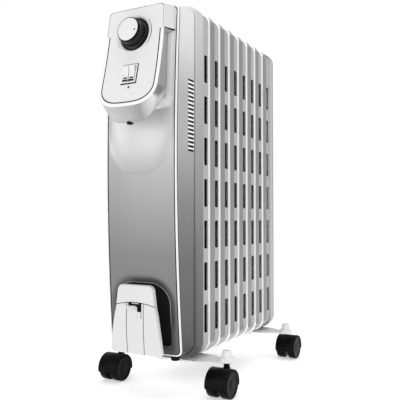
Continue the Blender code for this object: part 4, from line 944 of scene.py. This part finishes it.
def console():
    """Brushed band with white shoulders, gloss rim, satin face and the plug under the chin."""
    outline = console_outline(0.0)
    feet = [band_foot(x, z) for x, z in outline]
    hook = [foot + Vector((-0.14 * foot.x * low, 8.5 * MM * low, (456 * MM - foot.z) * 0.9 * low))
            for foot, low in feet]
    lip = [foot + Vector((-0.08 * foot.x, 6.5 * MM, 1.0 * MM)) * low for foot, low in feet]
    under = [foot + Vector((-0.01 * foot.x, 1.0 * MM, -0.4 * MM)) * low for foot, low in feet]
    edge = [Vector((x, panel_y(z) + 1.4 * MM, z)) for x, z in outline]
    rows = [hook, lip, under]
    for share in (0.04, 0.2, 0.4, 0.6, 0.8, 1.0):
        rows.append([foot.lerp(rim, share) for (foot, _), rim in zip(feet, edge)])
    band = skin("console_band", rows, BRUSHED_BAND, PANEL_SATIN, BLACK_PLASTIC_AND_SHADE)
    paint(band, lambda centre: centre.z > GROOVE_LOW_Z, 2)
    paint(band, lambda centre: centre.z > GROOVE_HIGH_Z)
    wall(band, 2.0 * MM)
    settle(band, "band_metal", "console_shell", angle=40)
    rows = [face_row(inset, upper, sunk) for inset, upper, sunk in
            ((0.25, 0.25, 2.4), (0.1, 0.1, 1.2), (0.25, 0.2, 0.5), (0.7, 0.3, 0.12), (1.4, 0.45, 0.0),
             (4.8, 0.65, 0.0), (5.3, 0.75, 0.1), (5.5, 0.85, 0.4), (5.6, 0.9, 3.6))]
    settle(skin("console_rim", rows, TRIM_GLOSS, toward=(0, -1, 0)), "trim_white", angle=50)
    rows = [face_row(*ring) for ring in ((5.5, 0.7, 1.0), (5.6, 0.8, 0.16), (7.25, 1.4, 0.16),
                                         (7.5, 1.7, 1.0))]
    settle(skin("console_gasket", rows, BLACK_PLASTIC_AND_SHADE, toward=(0, -1, 0)), "black_plastic")
    right = [(point.x, point.z) for point in face_row(7.2, 1.35, 0.0) if point.x >= 0]
    right = sorted(right, key=lambda point: -point[1])
    rows = [[Vector((x * share / 12, panel_y(z) + 0.18 * MM, z)) for share in range(-12, 13)]
            for x, z in right if x > 1.0 * MM]
    face = wall(skin("console_face", rows, PANEL_SATIN, closed=False, toward=(0, -1, 0)), 2.0 * MM)
    reach = 0.02
    well = [(0.0, -reach), (29.0 * MM, -reach), (29.0 * MM, reach), (0.0, reach)]
    slot = block("slot", (-13.2 * MM, -14.8 * MM, -reach), (13.2 * MM, 14.8 * MM, reach))
    slot.data.transform(face_place(SWITCH_Z))
    pilot = [(0.0, -reach), (2.2 * MM, -reach), (2.2 * MM, reach), (0.0, reach)]
    carve(face, turned("well", well, face_place(KNOB_Z), 48), slot,
          turned("pilot", pilot, face_place(PILOT_Z, x=PILOT_X), 20))
    settle(face, "panel_white", "console_panel")
    plug = mm([(0.0, 0.0), (5.0, 0.0), (5.6, 0.6), (5.2, 2.4), (3.6, 3.6), (0.0, 4.0)])
    place = Matrix.Translation((0.0, CHIN_Y + 3.4 * MM, CHIN_Z + 0.6 * MM)) @ Matrix.Rotation(pi, 4, "X")
    settle(turned("chin_plug", plug, place, 28, BLACK_PLASTIC_AND_SHADE), "black_plastic")


def knob():
    """Bezel ring in its seam, a black well as painted shade under the knob, plated skirt and a domed light
    cap with its dot.
    """
    place = face_place(KNOB_Z, FITTING_SEAT)
    ring = [(28.6, -2.6), (28.6, 1.5), (32.0, 1.5)]
    ring += [(30.6 + x, 1.9 + y) for x, y in arc((0.0, 0.0), 1.4, 0, 120, 6)]
    ring += [(28.8, 2.5), (27.2, 1.2), (26.9, -2.6)]
    settle(turned("bezel_ring", mm(ring), place, 72, PANEL_SATIN), "trim_white", "knob_bezel")
    seam = [(30.0, 1.0), (32.7, 1.0), (32.7, 1.75), (30.0, 1.75)]
    settle(turned("bezel_seam", mm(seam), place, 72, COVE_PLASTIC), "black_plastic")
    # Painted shade: a black well under the knob.
    well = [(0.0, -3.6), (28.4, -3.6), (28.4, -3.0), (26.6, -2.9), (26.6, -3.2), (0.0, -3.2)]
    settle(turned("knob_well", mm(well), place, 48, BLACK_PLASTIC_AND_SHADE), "black_plastic")
    top = 17.4
    skirt = [(3.2, 0.6), (25.6, 0.6), (26.0, 1.0), (26.0, 1.8), (25.4, 2.4), (22.4, 2.9), (21.6, 3.8),
             (20.6, top - 0.5), (20.2, top), (3.2, top)]
    body = turned("knob_skirt", mm(skirt), place, 96, KNOB_CHROME,
                  BLACK_PLASTIC_AND_SHADE)
    local = place.inverted()
    # The skirt's base flange is black as painted shade under the knob, and its top rim under the cap is
    # black too.
    paint(body, lambda centre: not 2.6 * MM <= (local @ centre).z <= (top - 0.7) * MM)
    settle(body, "knob_chrome", "thermostat_knob", body="knob")
    disc = [(0.0, top + 0.2), (19.6, top + 0.2), (19.9, top + 0.6), (19.9, top + 1.3),
            (19.6, top + 1.8), (18.5, top + 2.05), (18.2, top + 2.1), (14.0, top + 2.4),
            (0.0, top + 2.5)]
    dome = turned("knob_disc", mm(disc), place, 72, PANEL_SATIN, BLACK_PLASTIC_AND_SHADE)
    paint(dome, lambda centre: hypot(*(local @ centre).xy) > 18.4 * MM
          and (local @ centre).z < (top + 2.05) * MM)
    settle(dome, "panel_white", "knob_cap", body="knob")
    dot = [(0.0, 0.0), (1.4, 0.0), (1.3, 0.25), (0.0, 0.3)]
    dot_place = place @ Matrix.Translation((13.0 * MM, -2.5 * MM, (top + 2.4) * MM))
    settle(turned("knob_dot", mm(dot), dot_place, 20, COVE_PLASTIC),
           "black_plastic", body="knob")


def rocker(name, body, node, side):
    """One rocker: dished face with a dark bar and a dark dash at its lower end."""
    turn = face_place(SWITCH_Z, FITTING_SEAT) @ Matrix.Translation((side * ROCKER_X, 0.0, -1.0 * MM))
    turn = turn @ Matrix.Rotation(radians(8.0), 4, "X")
    half_x, half_y = 5.0, 12.1
    profile = [(-half_y, 0.7), (-half_y, 4.9)]
    profile += [(-half_y + (2 * half_y) * step / 16,
                 5.1 - 1.3 * sin(pi * step / 16)) for step in range(17)]
    profile += [(half_y, 4.9), (half_y, 0.7), (4.0, -2.5), (-4.0, -2.5)]
    rows = [[turn @ Vector((x * MM, y * MM, z * MM)) for y, z in profile] for x in (-half_x, half_x)]
    solid = close_up(cap(skin(name, rows, PANEL_SATIN), everywhere))
    bevel(solid, 0.35 * MM, 2, 50)
    settle(solid, "panel_white", node, body=body)
    marks = [block("bar", (-4.7 * MM, -11.9 * MM, 3.0 * MM), (4.7 * MM, -9.3 * MM, 5.5 * MM),
                   BLACK_PLASTIC_AND_SHADE, round_off=0.3 * MM),
             block("dash", (-3.4 * MM, -7.6 * MM, 3.0 * MM), (3.4 * MM, -5.4 * MM, 4.4 * MM),
                   BLACK_PLASTIC_AND_SHADE, round_off=0.1 * MM)]
    pads = gather(f"{name}_marks", marks)
    pads.data.transform(turn)
    settle(pads, "black_plastic", body=body)


def switch():
    """Raised frame round the rockers, and the two rockers."""
    place = face_place(SWITCH_Z, FITTING_SEAT)
    wide, tall = SWITCH_HALF_X / MM, SWITCH_HALF_Z / MM
    section = [(0.0, 0.5), (0.0, 1.1), (0.3, 1.6), (0.9, 1.9), (2.3, 1.9), (2.7, 1.7), (2.9, 1.2),
               (2.9, -6.0), (2.2, -6.0), (2.0, 0.5)]
    rows = []
    for inset, height in section + section[:1]:
        corner = max(0.25, 1.4 - inset * 0.4)
        outline = rounded(wide - inset, tall - inset, inset - tall, corner, corner, 4)
        rows.append([place @ Vector((x * MM, y * MM, height * MM)) for x, y in outline])
    settle(skin("rocker_frame", rows, TRIM_GLOSS), "trim_white", "switch_frame", angle=45)
    # Painted shadow: a black plate just larger than the frame, shifted right and down, where the frame's
    # shadow falls.
    seam = rounded(wide + 0.4, tall + 0.3, -tall - 1.9, 1.2, 1.2, 4)
    seam = prism("switch_painted_shadow", [((x + 1.0) * MM, y * MM) for x, y in seam], 0.6 * MM, 1.75 * MM,
                 BLACK_PLASTIC_AND_SHADE)
    seam.data.transform(place)
    hole = prism("hole", [(x * MM, y * MM) for x, y in rounded(11.6, 13.2, -13.2, 0.5, 0.5, 3)],
                 -0.01, 0.01)
    hole.data.transform(place)
    settle(carve(seam, hole), "black_plastic")
    well = block("switch_well", (-11.4 * MM, -13.0 * MM, -6.4 * MM), (11.4 * MM, 13.0 * MM, -5.6 * MM),
                 BLACK_PLASTIC_AND_SHADE)
    well.data.transform(place)
    settle(well, "black_plastic")
    rocker("left_rocker_cap", "left_rocker", "rocker_left", -1)
    rocker("right_rocker_cap", "right_rocker", "rocker_right", 1)


# ---- cord storage -------------------------------------------------------------------------------
def cove():
    """Arched tray with soft walls and a thin bright lip along its edge."""
    rows = []
    for step in range(13):
        share = step / 12
        inset = 1.0 * MM + 13.0 * MM * share ** 1.6
        depth = sin(radians(90 * share)) ** 0.9
        outline = rounded(COVE_HALF - inset, COVE_TOP - inset, COVE_BOTTOM + inset * 0.6,
                          COVE_ARCH - inset * 0.7, 8 * MM, 12, 8)
        row = []
        for x, z in outline:
            start = fascia_y(x, z) + 3.4 * MM
            row.append(Vector((x, start * (1 - depth) + COVE_BACK_Y * depth, z)))
        rows.append(row)
    tray = cap(skin("cove_tray", rows, COVE_PLASTIC, toward=(0, -1, 0)),
               lambda point: point.y > COVE_BACK_Y - 0.2 * MM)
    settle(tray, "cove_grey", "cord_cove")
    rows = []
    for across, forward in ((0.0, 1.6), (-0.1, 0.4), (0.3, -0.2), (0.9, -0.2), (1.3, 0.4), (1.4, 1.6)):
        outline = rounded(COVE_HALF - across * MM, COVE_TOP - across * MM, COVE_BOTTOM + across * MM,
                          COVE_ARCH - across * MM, 8 * MM, 14, 8)
        rows.append([Vector((x, fascia_y(x, z) + (2.6 + forward) * MM, z)) for x, z in outline])
    settle(skin("cove_lip", rows + rows[:1], LIP_SATIN), "silver_shell")


def bracket_half(z):
    """Half width of the bracket at a height, with round corners."""
    share = (BRACKET_TOP - z) / (BRACKET_TOP - BRACKET_BOTTOM)
    half = BRACKET_TOP_HALF + (BRACKET_BOTTOM_HALF - BRACKET_TOP_HALF) * share
    corner = 8.0 * MM
    for edge in (BRACKET_TOP - z, z - BRACKET_BOTTOM):
        if edge < corner:
            half -= corner - sqrt(max(0.0, corner ** 2 - (corner - edge) ** 2))
    return half


def seam_z(x):
    """Height of the bracket's curved seam."""
    return SEAM_Z - 5.0 * MM * (x / (36 * MM)) ** 2


def bracket_point(share, z):
    """A point of the bracket's face, with its round edges, seam and two grooves."""
    half = bracket_half(z)
    x = half * share
    follow = 1 - min(1.0, abs(z - SEAM_Z) / (22 * MM))
    height = z + (seam_z(x) - SEAM_Z) * ease(follow)
    border = min(half - abs(x), BRACKET_TOP - z, z - BRACKET_BOTTOM)
    round_off = 2.6 * MM
    drop = 0.0
    if border < round_off:
        drop = round_off - sqrt(max(0.0, round_off ** 2 - (round_off - border) ** 2))
    groove = 0.0
    if height < seam_z(x) - 0.5 * MM:
        groove = 0.9 * MM * ease(1 - abs(abs(x) - GROOVE_X) / (0.9 * MM))
    groove = max(groove, 1.1 * MM * ease(1 - abs(height - seam_z(x)) / (0.9 * MM)))
    lean = 4.0 * MM * ease((120 * MM - z) / (60 * MM))
    proud = -0.5 * MM * ease((height - seam_z(x)) / (0.8 * MM))
    return Vector((x, BRACKET_Y + 0.4 * MM + lean + drop + groove + proud, height))


def bracket():
    """Two-piece cap of the cord bracket: seam, grooves, window, curled tab and post."""
    heights = [BRACKET_TOP - value * MM for value in (0.0, 0.3, 0.9, 1.7, 2.6, 4.0, 6.0, 8.0)]
    heights += [(174 - step * 2.0) * MM for step in range(1, 9)]
    heights += [SEAM_Z + value * MM for value in (1.6, 0.9, 0.45, 0.0, -0.45, -0.9, -1.6)]
    heights += [(151.0 - step * 3.0) * MM for step in range(23)]
    heights += [BRACKET_BOTTOM + value * MM for value in (8.0, 6.0, 4.0, 2.6, 1.7, 0.9, 0.3, 0.0)]
    shares = []
    for height in heights:
        half = bracket_half(height)
        groove = [GROOVE_X + value * MM for value in (-0.9, -0.45, 0.0, 0.45, 0.9)]
        edge = [half - value * MM for value in (2.6, 1.7, 0.9, 0.3, 0.0)]
        middle = [WINDOW_HALF * step / 4 for step in range(1, 5)]
        gap = (edge[0] - groove[-1]) / 5
        right = middle + groove + [groove[-1] + gap * step for step in range(1, 5)] + edge
        shares.append([-x / half for x in reversed(right)] + [0.0] + [x / half for x in right])
    rows = [[bracket_point(share, z) for share in line] for line, z in zip(shares, heights)]
    face = skin("bracket_cap", rows, BRACKET_SATIN, closed=False, toward=(0, -1, 0))
    face.data.materials.append(BLACK_PLASTIC_AND_SHADE)
    # The seam line is black, a dark joint; the two grooves below it are black as painted shade in their
    # hollows.
    paint(face, lambda centre: abs(centre.z - seam_z(centre.x)) < 0.5 * MM
          or (centre.z < seam_z(centre.x) and abs(abs(centre.x) - GROOVE_X) < 0.5 * MM))
    grasp(face)
    bpy.ops.object.mode_set(mode="EDIT")
    choose("FACE", lambda item: abs(item.calc_center_median().x) < WINDOW_HALF
           and 130 * MM < item.calc_center_median().z < 154.2 * MM)
    bpy.ops.mesh.delete(type="FACE")
    bpy.ops.object.mode_set(mode="OBJECT")
    rim = rows[0] + [row[-1] for row in rows[1:]] + rows[-1][-2::-1] + [row[0] for row in rows[-2:0:-1]]
    back = [Vector((point.x, BRACKET_Y + 8.0 * MM, point.z)) for point in rim]
    side = skin("bracket_side", [rim, back], BRACKET_SATIN)
    shell = close_up(gather("bracket_cap", [face, side]), toward=(0, -1, 0))
    wall(shell, 2.0 * MM)
    settle(shell, "bracket_white", "cord_bracket")
    curl = [(2.4, 116.0), (2.4, 140.0)] + [(-2.6 + x, 142.0 + z) for x, z in
                                          arc((0.0, 0.0), 5.0, 0, 170, 10)]
    curl += [(-2.6 + x, 142.0 + z) for x, z in arc((0.0, 0.0), 3.2, 170, 0, 10)]
    curl += [(0.6, 140.0), (0.6, 116.0)]
    half = 8.6 * MM
    rows = [[Vector((x, BRACKET_Y + y * MM, z * MM)) for y, z in curl] for x in (-half, half)]
    tab = close_up(cap(skin("bracket_tab", rows, BRACKET_SATIN), everywhere))
    bevel(tab, 0.5 * MM, 3, 50)
    tab.data.transform(Matrix.Translation((-4.4 * MM, -0.6 * MM, 3.2 * MM)))
    settle(tab, "bracket_white")
    leaf = block("bracket_leaf", (-11.2 * MM, BRACKET_Y + 0.5 * MM, 128.5 * MM),
                 (11.2 * MM, BRACKET_Y + 2.1 * MM, 140.6 * MM), BRACKET_SATIN, round_off=0.4 * MM)
    settle(leaf, "bracket_white")
    post = block("bracket_post", (-11 * MM, BRACKET_Y + 2.0 * MM, 96 * MM),
                 (11 * MM, COVE_BACK_Y - 0.2 * MM, 124 * MM), COVE_PLASTIC, round_off=2.0 * MM)
    settle(post, "cove_grey")


def gland():
    """The bush under the housing that the cord leaves through."""
    low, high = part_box("cord_gland")
    middle = (low + high) / 2
    outer = (high.x - low.x) / 2
    section = [(3.6 * MM, low.z), (outer - 2.2 * MM, low.z), (outer - 1.2 * MM, low.z + 0.6 * MM),
               (outer - 0.6 * MM, low.z + 3.5 * MM), (outer, low.z + 4.5 * MM), (outer, high.z - 7 * MM),
               (5.8 * MM, high.z - 6.6 * MM), (5.8 * MM, high.z), (3.6 * MM, high.z)]
    place = Matrix.Translation((middle.x, middle.y, 0.0))
    settle(turned("gland_bush", section, place, 40, BLACK_PLASTIC_AND_SHADE), "black_plastic", "cord_gland")


# ---- feet and casters ---------------------------------------------------------------------------
def plate_outline(middle_y):
    """A plate that narrows to a round lobe over each caster."""
    right = mm([(62, -28), (70, -27), (77, -23.5), (84, -18), (91, -13.6)])
    right += arc((CASTER_X, 0.0), 13 * MM, -70, 70, 14)
    right += [(x, -y) for x, y in reversed(right[:5])]
    return [(x, middle_y + y) for x, y in right] + [(-x, middle_y + y) for x, y in reversed(right)]


def foot_plate(name, node, middle_y):
    """Pressed plate with rolled edge, long stiffening ribs and a stepped boss at each end."""
    plate = prism(name, plate_outline(middle_y), PLATE_Z, PLATE_Z + PLATE_THICKNESS, FOOT_ENAMEL,
                  round_off=0.9 * MM)
    parts = [plate]
    top = PLATE_Z + PLATE_THICKNESS
    for offset in (-19 * MM, 19 * MM):
        parts.append(block("rib", (-66 * MM, middle_y + offset - 3 * MM, top - 0.6 * MM),
                           (66 * MM, middle_y + offset + 3 * MM, top + 1.6 * MM), FOOT_ENAMEL,
                           round_off=1.4 * MM))
    boss = mm([(0.0, 53.5), (12.4, 53.5), (12.2, 58.5), (11.2, 60.0), (9.4, 60.8), (8.4, 62.0),
               (7.0, 69.5), (6.0, 71.2), (4.0, 71.9), (0.0, 72.0)])
    for side in (-1, 1):
        place = Matrix.Translation((side * CASTER_X, middle_y, 0.0))
        parts.append(turned("boss", boss, place, 40, FOOT_ENAMEL))
    settle(gather(name, parts), "plate_white", node)


def wing_nut(name, x, y):
    """Wing nut under a foot plate."""
    low, high = PLATE_Z - 6.0 * MM, PLATE_Z - 0.8 * MM
    hub = [(2.2 * MM, low), (5.0 * MM, low), (4.2 * MM, high), (2.2 * MM, high)]
    parts = [turned("hub", hub, Matrix.Translation((x, y, 0.0)), 24, ZINC)]
    for side in (-1, 1):
        near, far = sorted((x + side * 3.6 * MM, x + side * 10.5 * MM))
        parts.append(block("wing", (near, y - 0.9 * MM, low - 3 * MM), (far, y + 0.9 * MM, low + 3 * MM),
                           ZINC, round_off=0.8 * MM))
    settle(gather(name, parts), "zinc")


def caster(name):
    """Hood with rolled rim, two treaded wheels with hub caps, axle ends and the stem."""
    stem_low, stem_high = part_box(f"{name}_stem")
    axle_low, axle_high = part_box(f"{name}_axle")
    stem = (stem_low + stem_high) / 2
    hub = (axle_low + axle_high) / 2
    swivel, wheels = f"{name}_swivel", f"{name}_wheels"
    half, outer, inner, web, notch = 19.6, 24.6, 22.9, 3.6, 3.3
    section = [(-half + 1.0, outer), (half - 1.0, outer), (half - 0.3, outer - 0.3), (half, outer - 1.0),
               (half, inner), (web, inner), (web, notch), (-web, notch), (-web, inner), (-half, inner),
               (-half, outer - 1.0), (-half + 0.3, outer - 0.3)]
    rows = []
    steps = 30
    for step in range(steps + 1):
        angle = radians(-12 + 204 * step / steps)
        pinch = 1.0 if 0 < step < steps else 0.985
        rows.append([hub + Vector((x * MM * pinch, reach * MM * cos(angle), reach * MM * sin(angle)))
                     for x, reach in section])
    hood = skin(f"{name}_fender", rows, CASTER_PLASTIC)
    hood = cap(cap(hood, lambda point: point.z < hub.z and point.y > hub.y),
               lambda point: point.z < hub.z and point.y < hub.y)
    collar = [(0.0, 27.5), (3.6, 27.5), (3.6, 40.0), (6.4, 41.0), (6.4, 43.6), (5.6, 44.6), (5.0, 45.0),
              (5.0, 51.6), (4.4, 52.0), (3.6, 52.1), (3.6, 65.0), (0.0, 65.0)]
    place = Matrix.Translation((stem.x, stem.y, 0.0))
    shank = turned(f"{name}_shank", mm(collar), place, 32, CASTER_PLASTIC)
    settle(close_up(hood), "black_plastic", f"{name}_hood", body=swivel)
    settle(shank, "black_plastic", f"{name}_stem", body=swivel)
    for side, word in ((-1, "left"), (1, "right")):
        place = along_x(hub) if side > 0 else along_x(hub) @ Matrix.Rotation(pi, 4, "X")
        tread = [(2.7, 4.2), (20.6, 4.2), (21.4, 4.6), (22.0, 5.6), (22.0, 9.6), (21.5, 10.0),
                 (21.5, 10.6), (22.0, 11.0), (22.0, 17.6), (21.4, 18.7), (20.4, 19.2), (18.6, 19.2),
                 (18.0, 18.6), (17.2, 18.4), (9.0, 18.4), (8.4, 18.9), (6.6, 19.1), (0.0, 19.2),
                 (0.0, 18.0), (2.7, 18.0)]
        wheel = turned(f"{name}_{word}_tyre", mm(tread), place, 56, TYRE_PLASTIC)
        settle(wheel, "black_plastic", f"{name}_wheel_{word}", body=wheels)
    end = [(0.0, -17.8), (2.2, -17.8), (2.5, -17.5), (2.5, 17.5), (2.2, 17.8), (0.0, 17.8)]
    settle(turned(f"{name}_pin", mm(end), along_x(hub), 24, ZINC), "zinc", f"{name}_axle",
           body=wheels)


# ---- pieces kept from the frame -----------------------------------------------------------------
def refinish_frame():
    """Give every shown frame piece its detailed finish."""
    by_slot = {"zinc": ZINC, "brass": BRASS, "phenolic": RESIN, "pilot_amber": PILOT_LENS,
               "black_plastic": BLACK_PLASTIC_AND_SHADE, "element_steel": ELEMENT_ENAMEL}
    slots = {entry["node"]: entry["material_slot"] for entry in frame["record"]["subparts"]}
    for name, node in frame["nodes"].items():
        finish = by_slot.get(slots[name])
        if finish and not node.hide_render:
            for slot in node.material_slots:
                slot.material = finish


# ---- stage --------------------------------------------------------------------------------------
def studio():
    """Pale floor, soft lights, pale surroundings and the camera."""
    clear_selection()
    bpy.ops.mesh.primitive_plane_add(size=14.0, location=(0, 0, -0.0005))
    floor = bpy.context.object
    floor.name = "floor"
    bpy.ops.object.transform_apply(location=True)
    pale = Finish("pale_floor", Roughness=0.9, Emission_Color=grey(1.0), Emission_Strength=0.45)
    pale.feed(Base_Color=pale.shade(grey(0.92), 0.985 + pale.noise(3.0) * 0.03))
    floor.data.materials.append(pale.material)
    world = bpy.data.worlds.new("studio")
    bpy.context.scene.world = world
    world.use_nodes = True
    tree = world.node_tree
    soft = tree.nodes["Background"]
    soft.inputs["Color"].default_value = (1.0, 1.0, 1.0, 1.0)
    soft.inputs["Strength"].default_value = 0.62
    plain = tree.nodes.new("ShaderNodeBackground")
    plain.inputs["Color"].default_value = (1.0, 1.0, 1.0, 1.0)
    plain.inputs["Strength"].default_value = 1.0
    seen = tree.nodes.new("ShaderNodeLightPath")
    mixed = tree.nodes.new("ShaderNodeMixShader")
    tree.links.new(seen.outputs["Is Camera Ray"], mixed.inputs[0])
    tree.links.new(soft.outputs[0], mixed.inputs[1])
    tree.links.new(plain.outputs[0], mixed.inputs[2])
    tree.links.new(mixed.outputs[0], tree.nodes["World Output"].inputs["Surface"])
    lamps = [("front_softbox", (-0.5, -2.5, 0.6), 2.8, 27.0),
             ("top_softbox", (0.2, -0.3, 2.4), 1.8, 12.0),
             ("side_softbox", (2.2, 0.3, 0.9), 1.4, 4.0)]
    for name, place, size, power in lamps:
        aim = Vector((0.0, 0.0, 0.33)) - Vector(place)
        bpy.ops.object.light_add(type="AREA", location=place,
                                 rotation=aim.to_track_quat("-Z", "Y").to_euler())
        lamp = bpy.context.object
        lamp.name = name
        lamp.data.size = size
        lamp.data.energy = power
    bpy.ops.object.camera_add(location=(0.5217, -0.9245, 0.2848),
                              rotation=(radians(91.901), 0.0, radians(29.054)))
    camera = bpy.context.object
    camera.data.lens = 51.3
    camera.data.sensor_width = 36.0
    bpy.context.scene.camera = camera
    bpy.context.scene.view_settings.view_transform = "Standard"


radiator_elements()
end_covers()
control_housing()
trim_bead()
fascia()
console()
knob()
switch()
cove()
bracket()
gland()
for end_name, end_y in (("front", FIRST_GAP_Y), ("rear", FIRST_GAP_Y + 7 * PITCH)):
    foot_plate(f"{end_name}_plate", f"{end_name}_foot_plate", end_y)
    for x in (-18.5 * MM, 18.5 * MM):
        wing_nut(f"{end_name}_wing_nut_{'left' if x < 0 else 'right'}", x, end_y)
    for side_name in ("left", "right"):
        caster(f"{end_name}_{side_name}_caster")
refinish_frame()
studio()
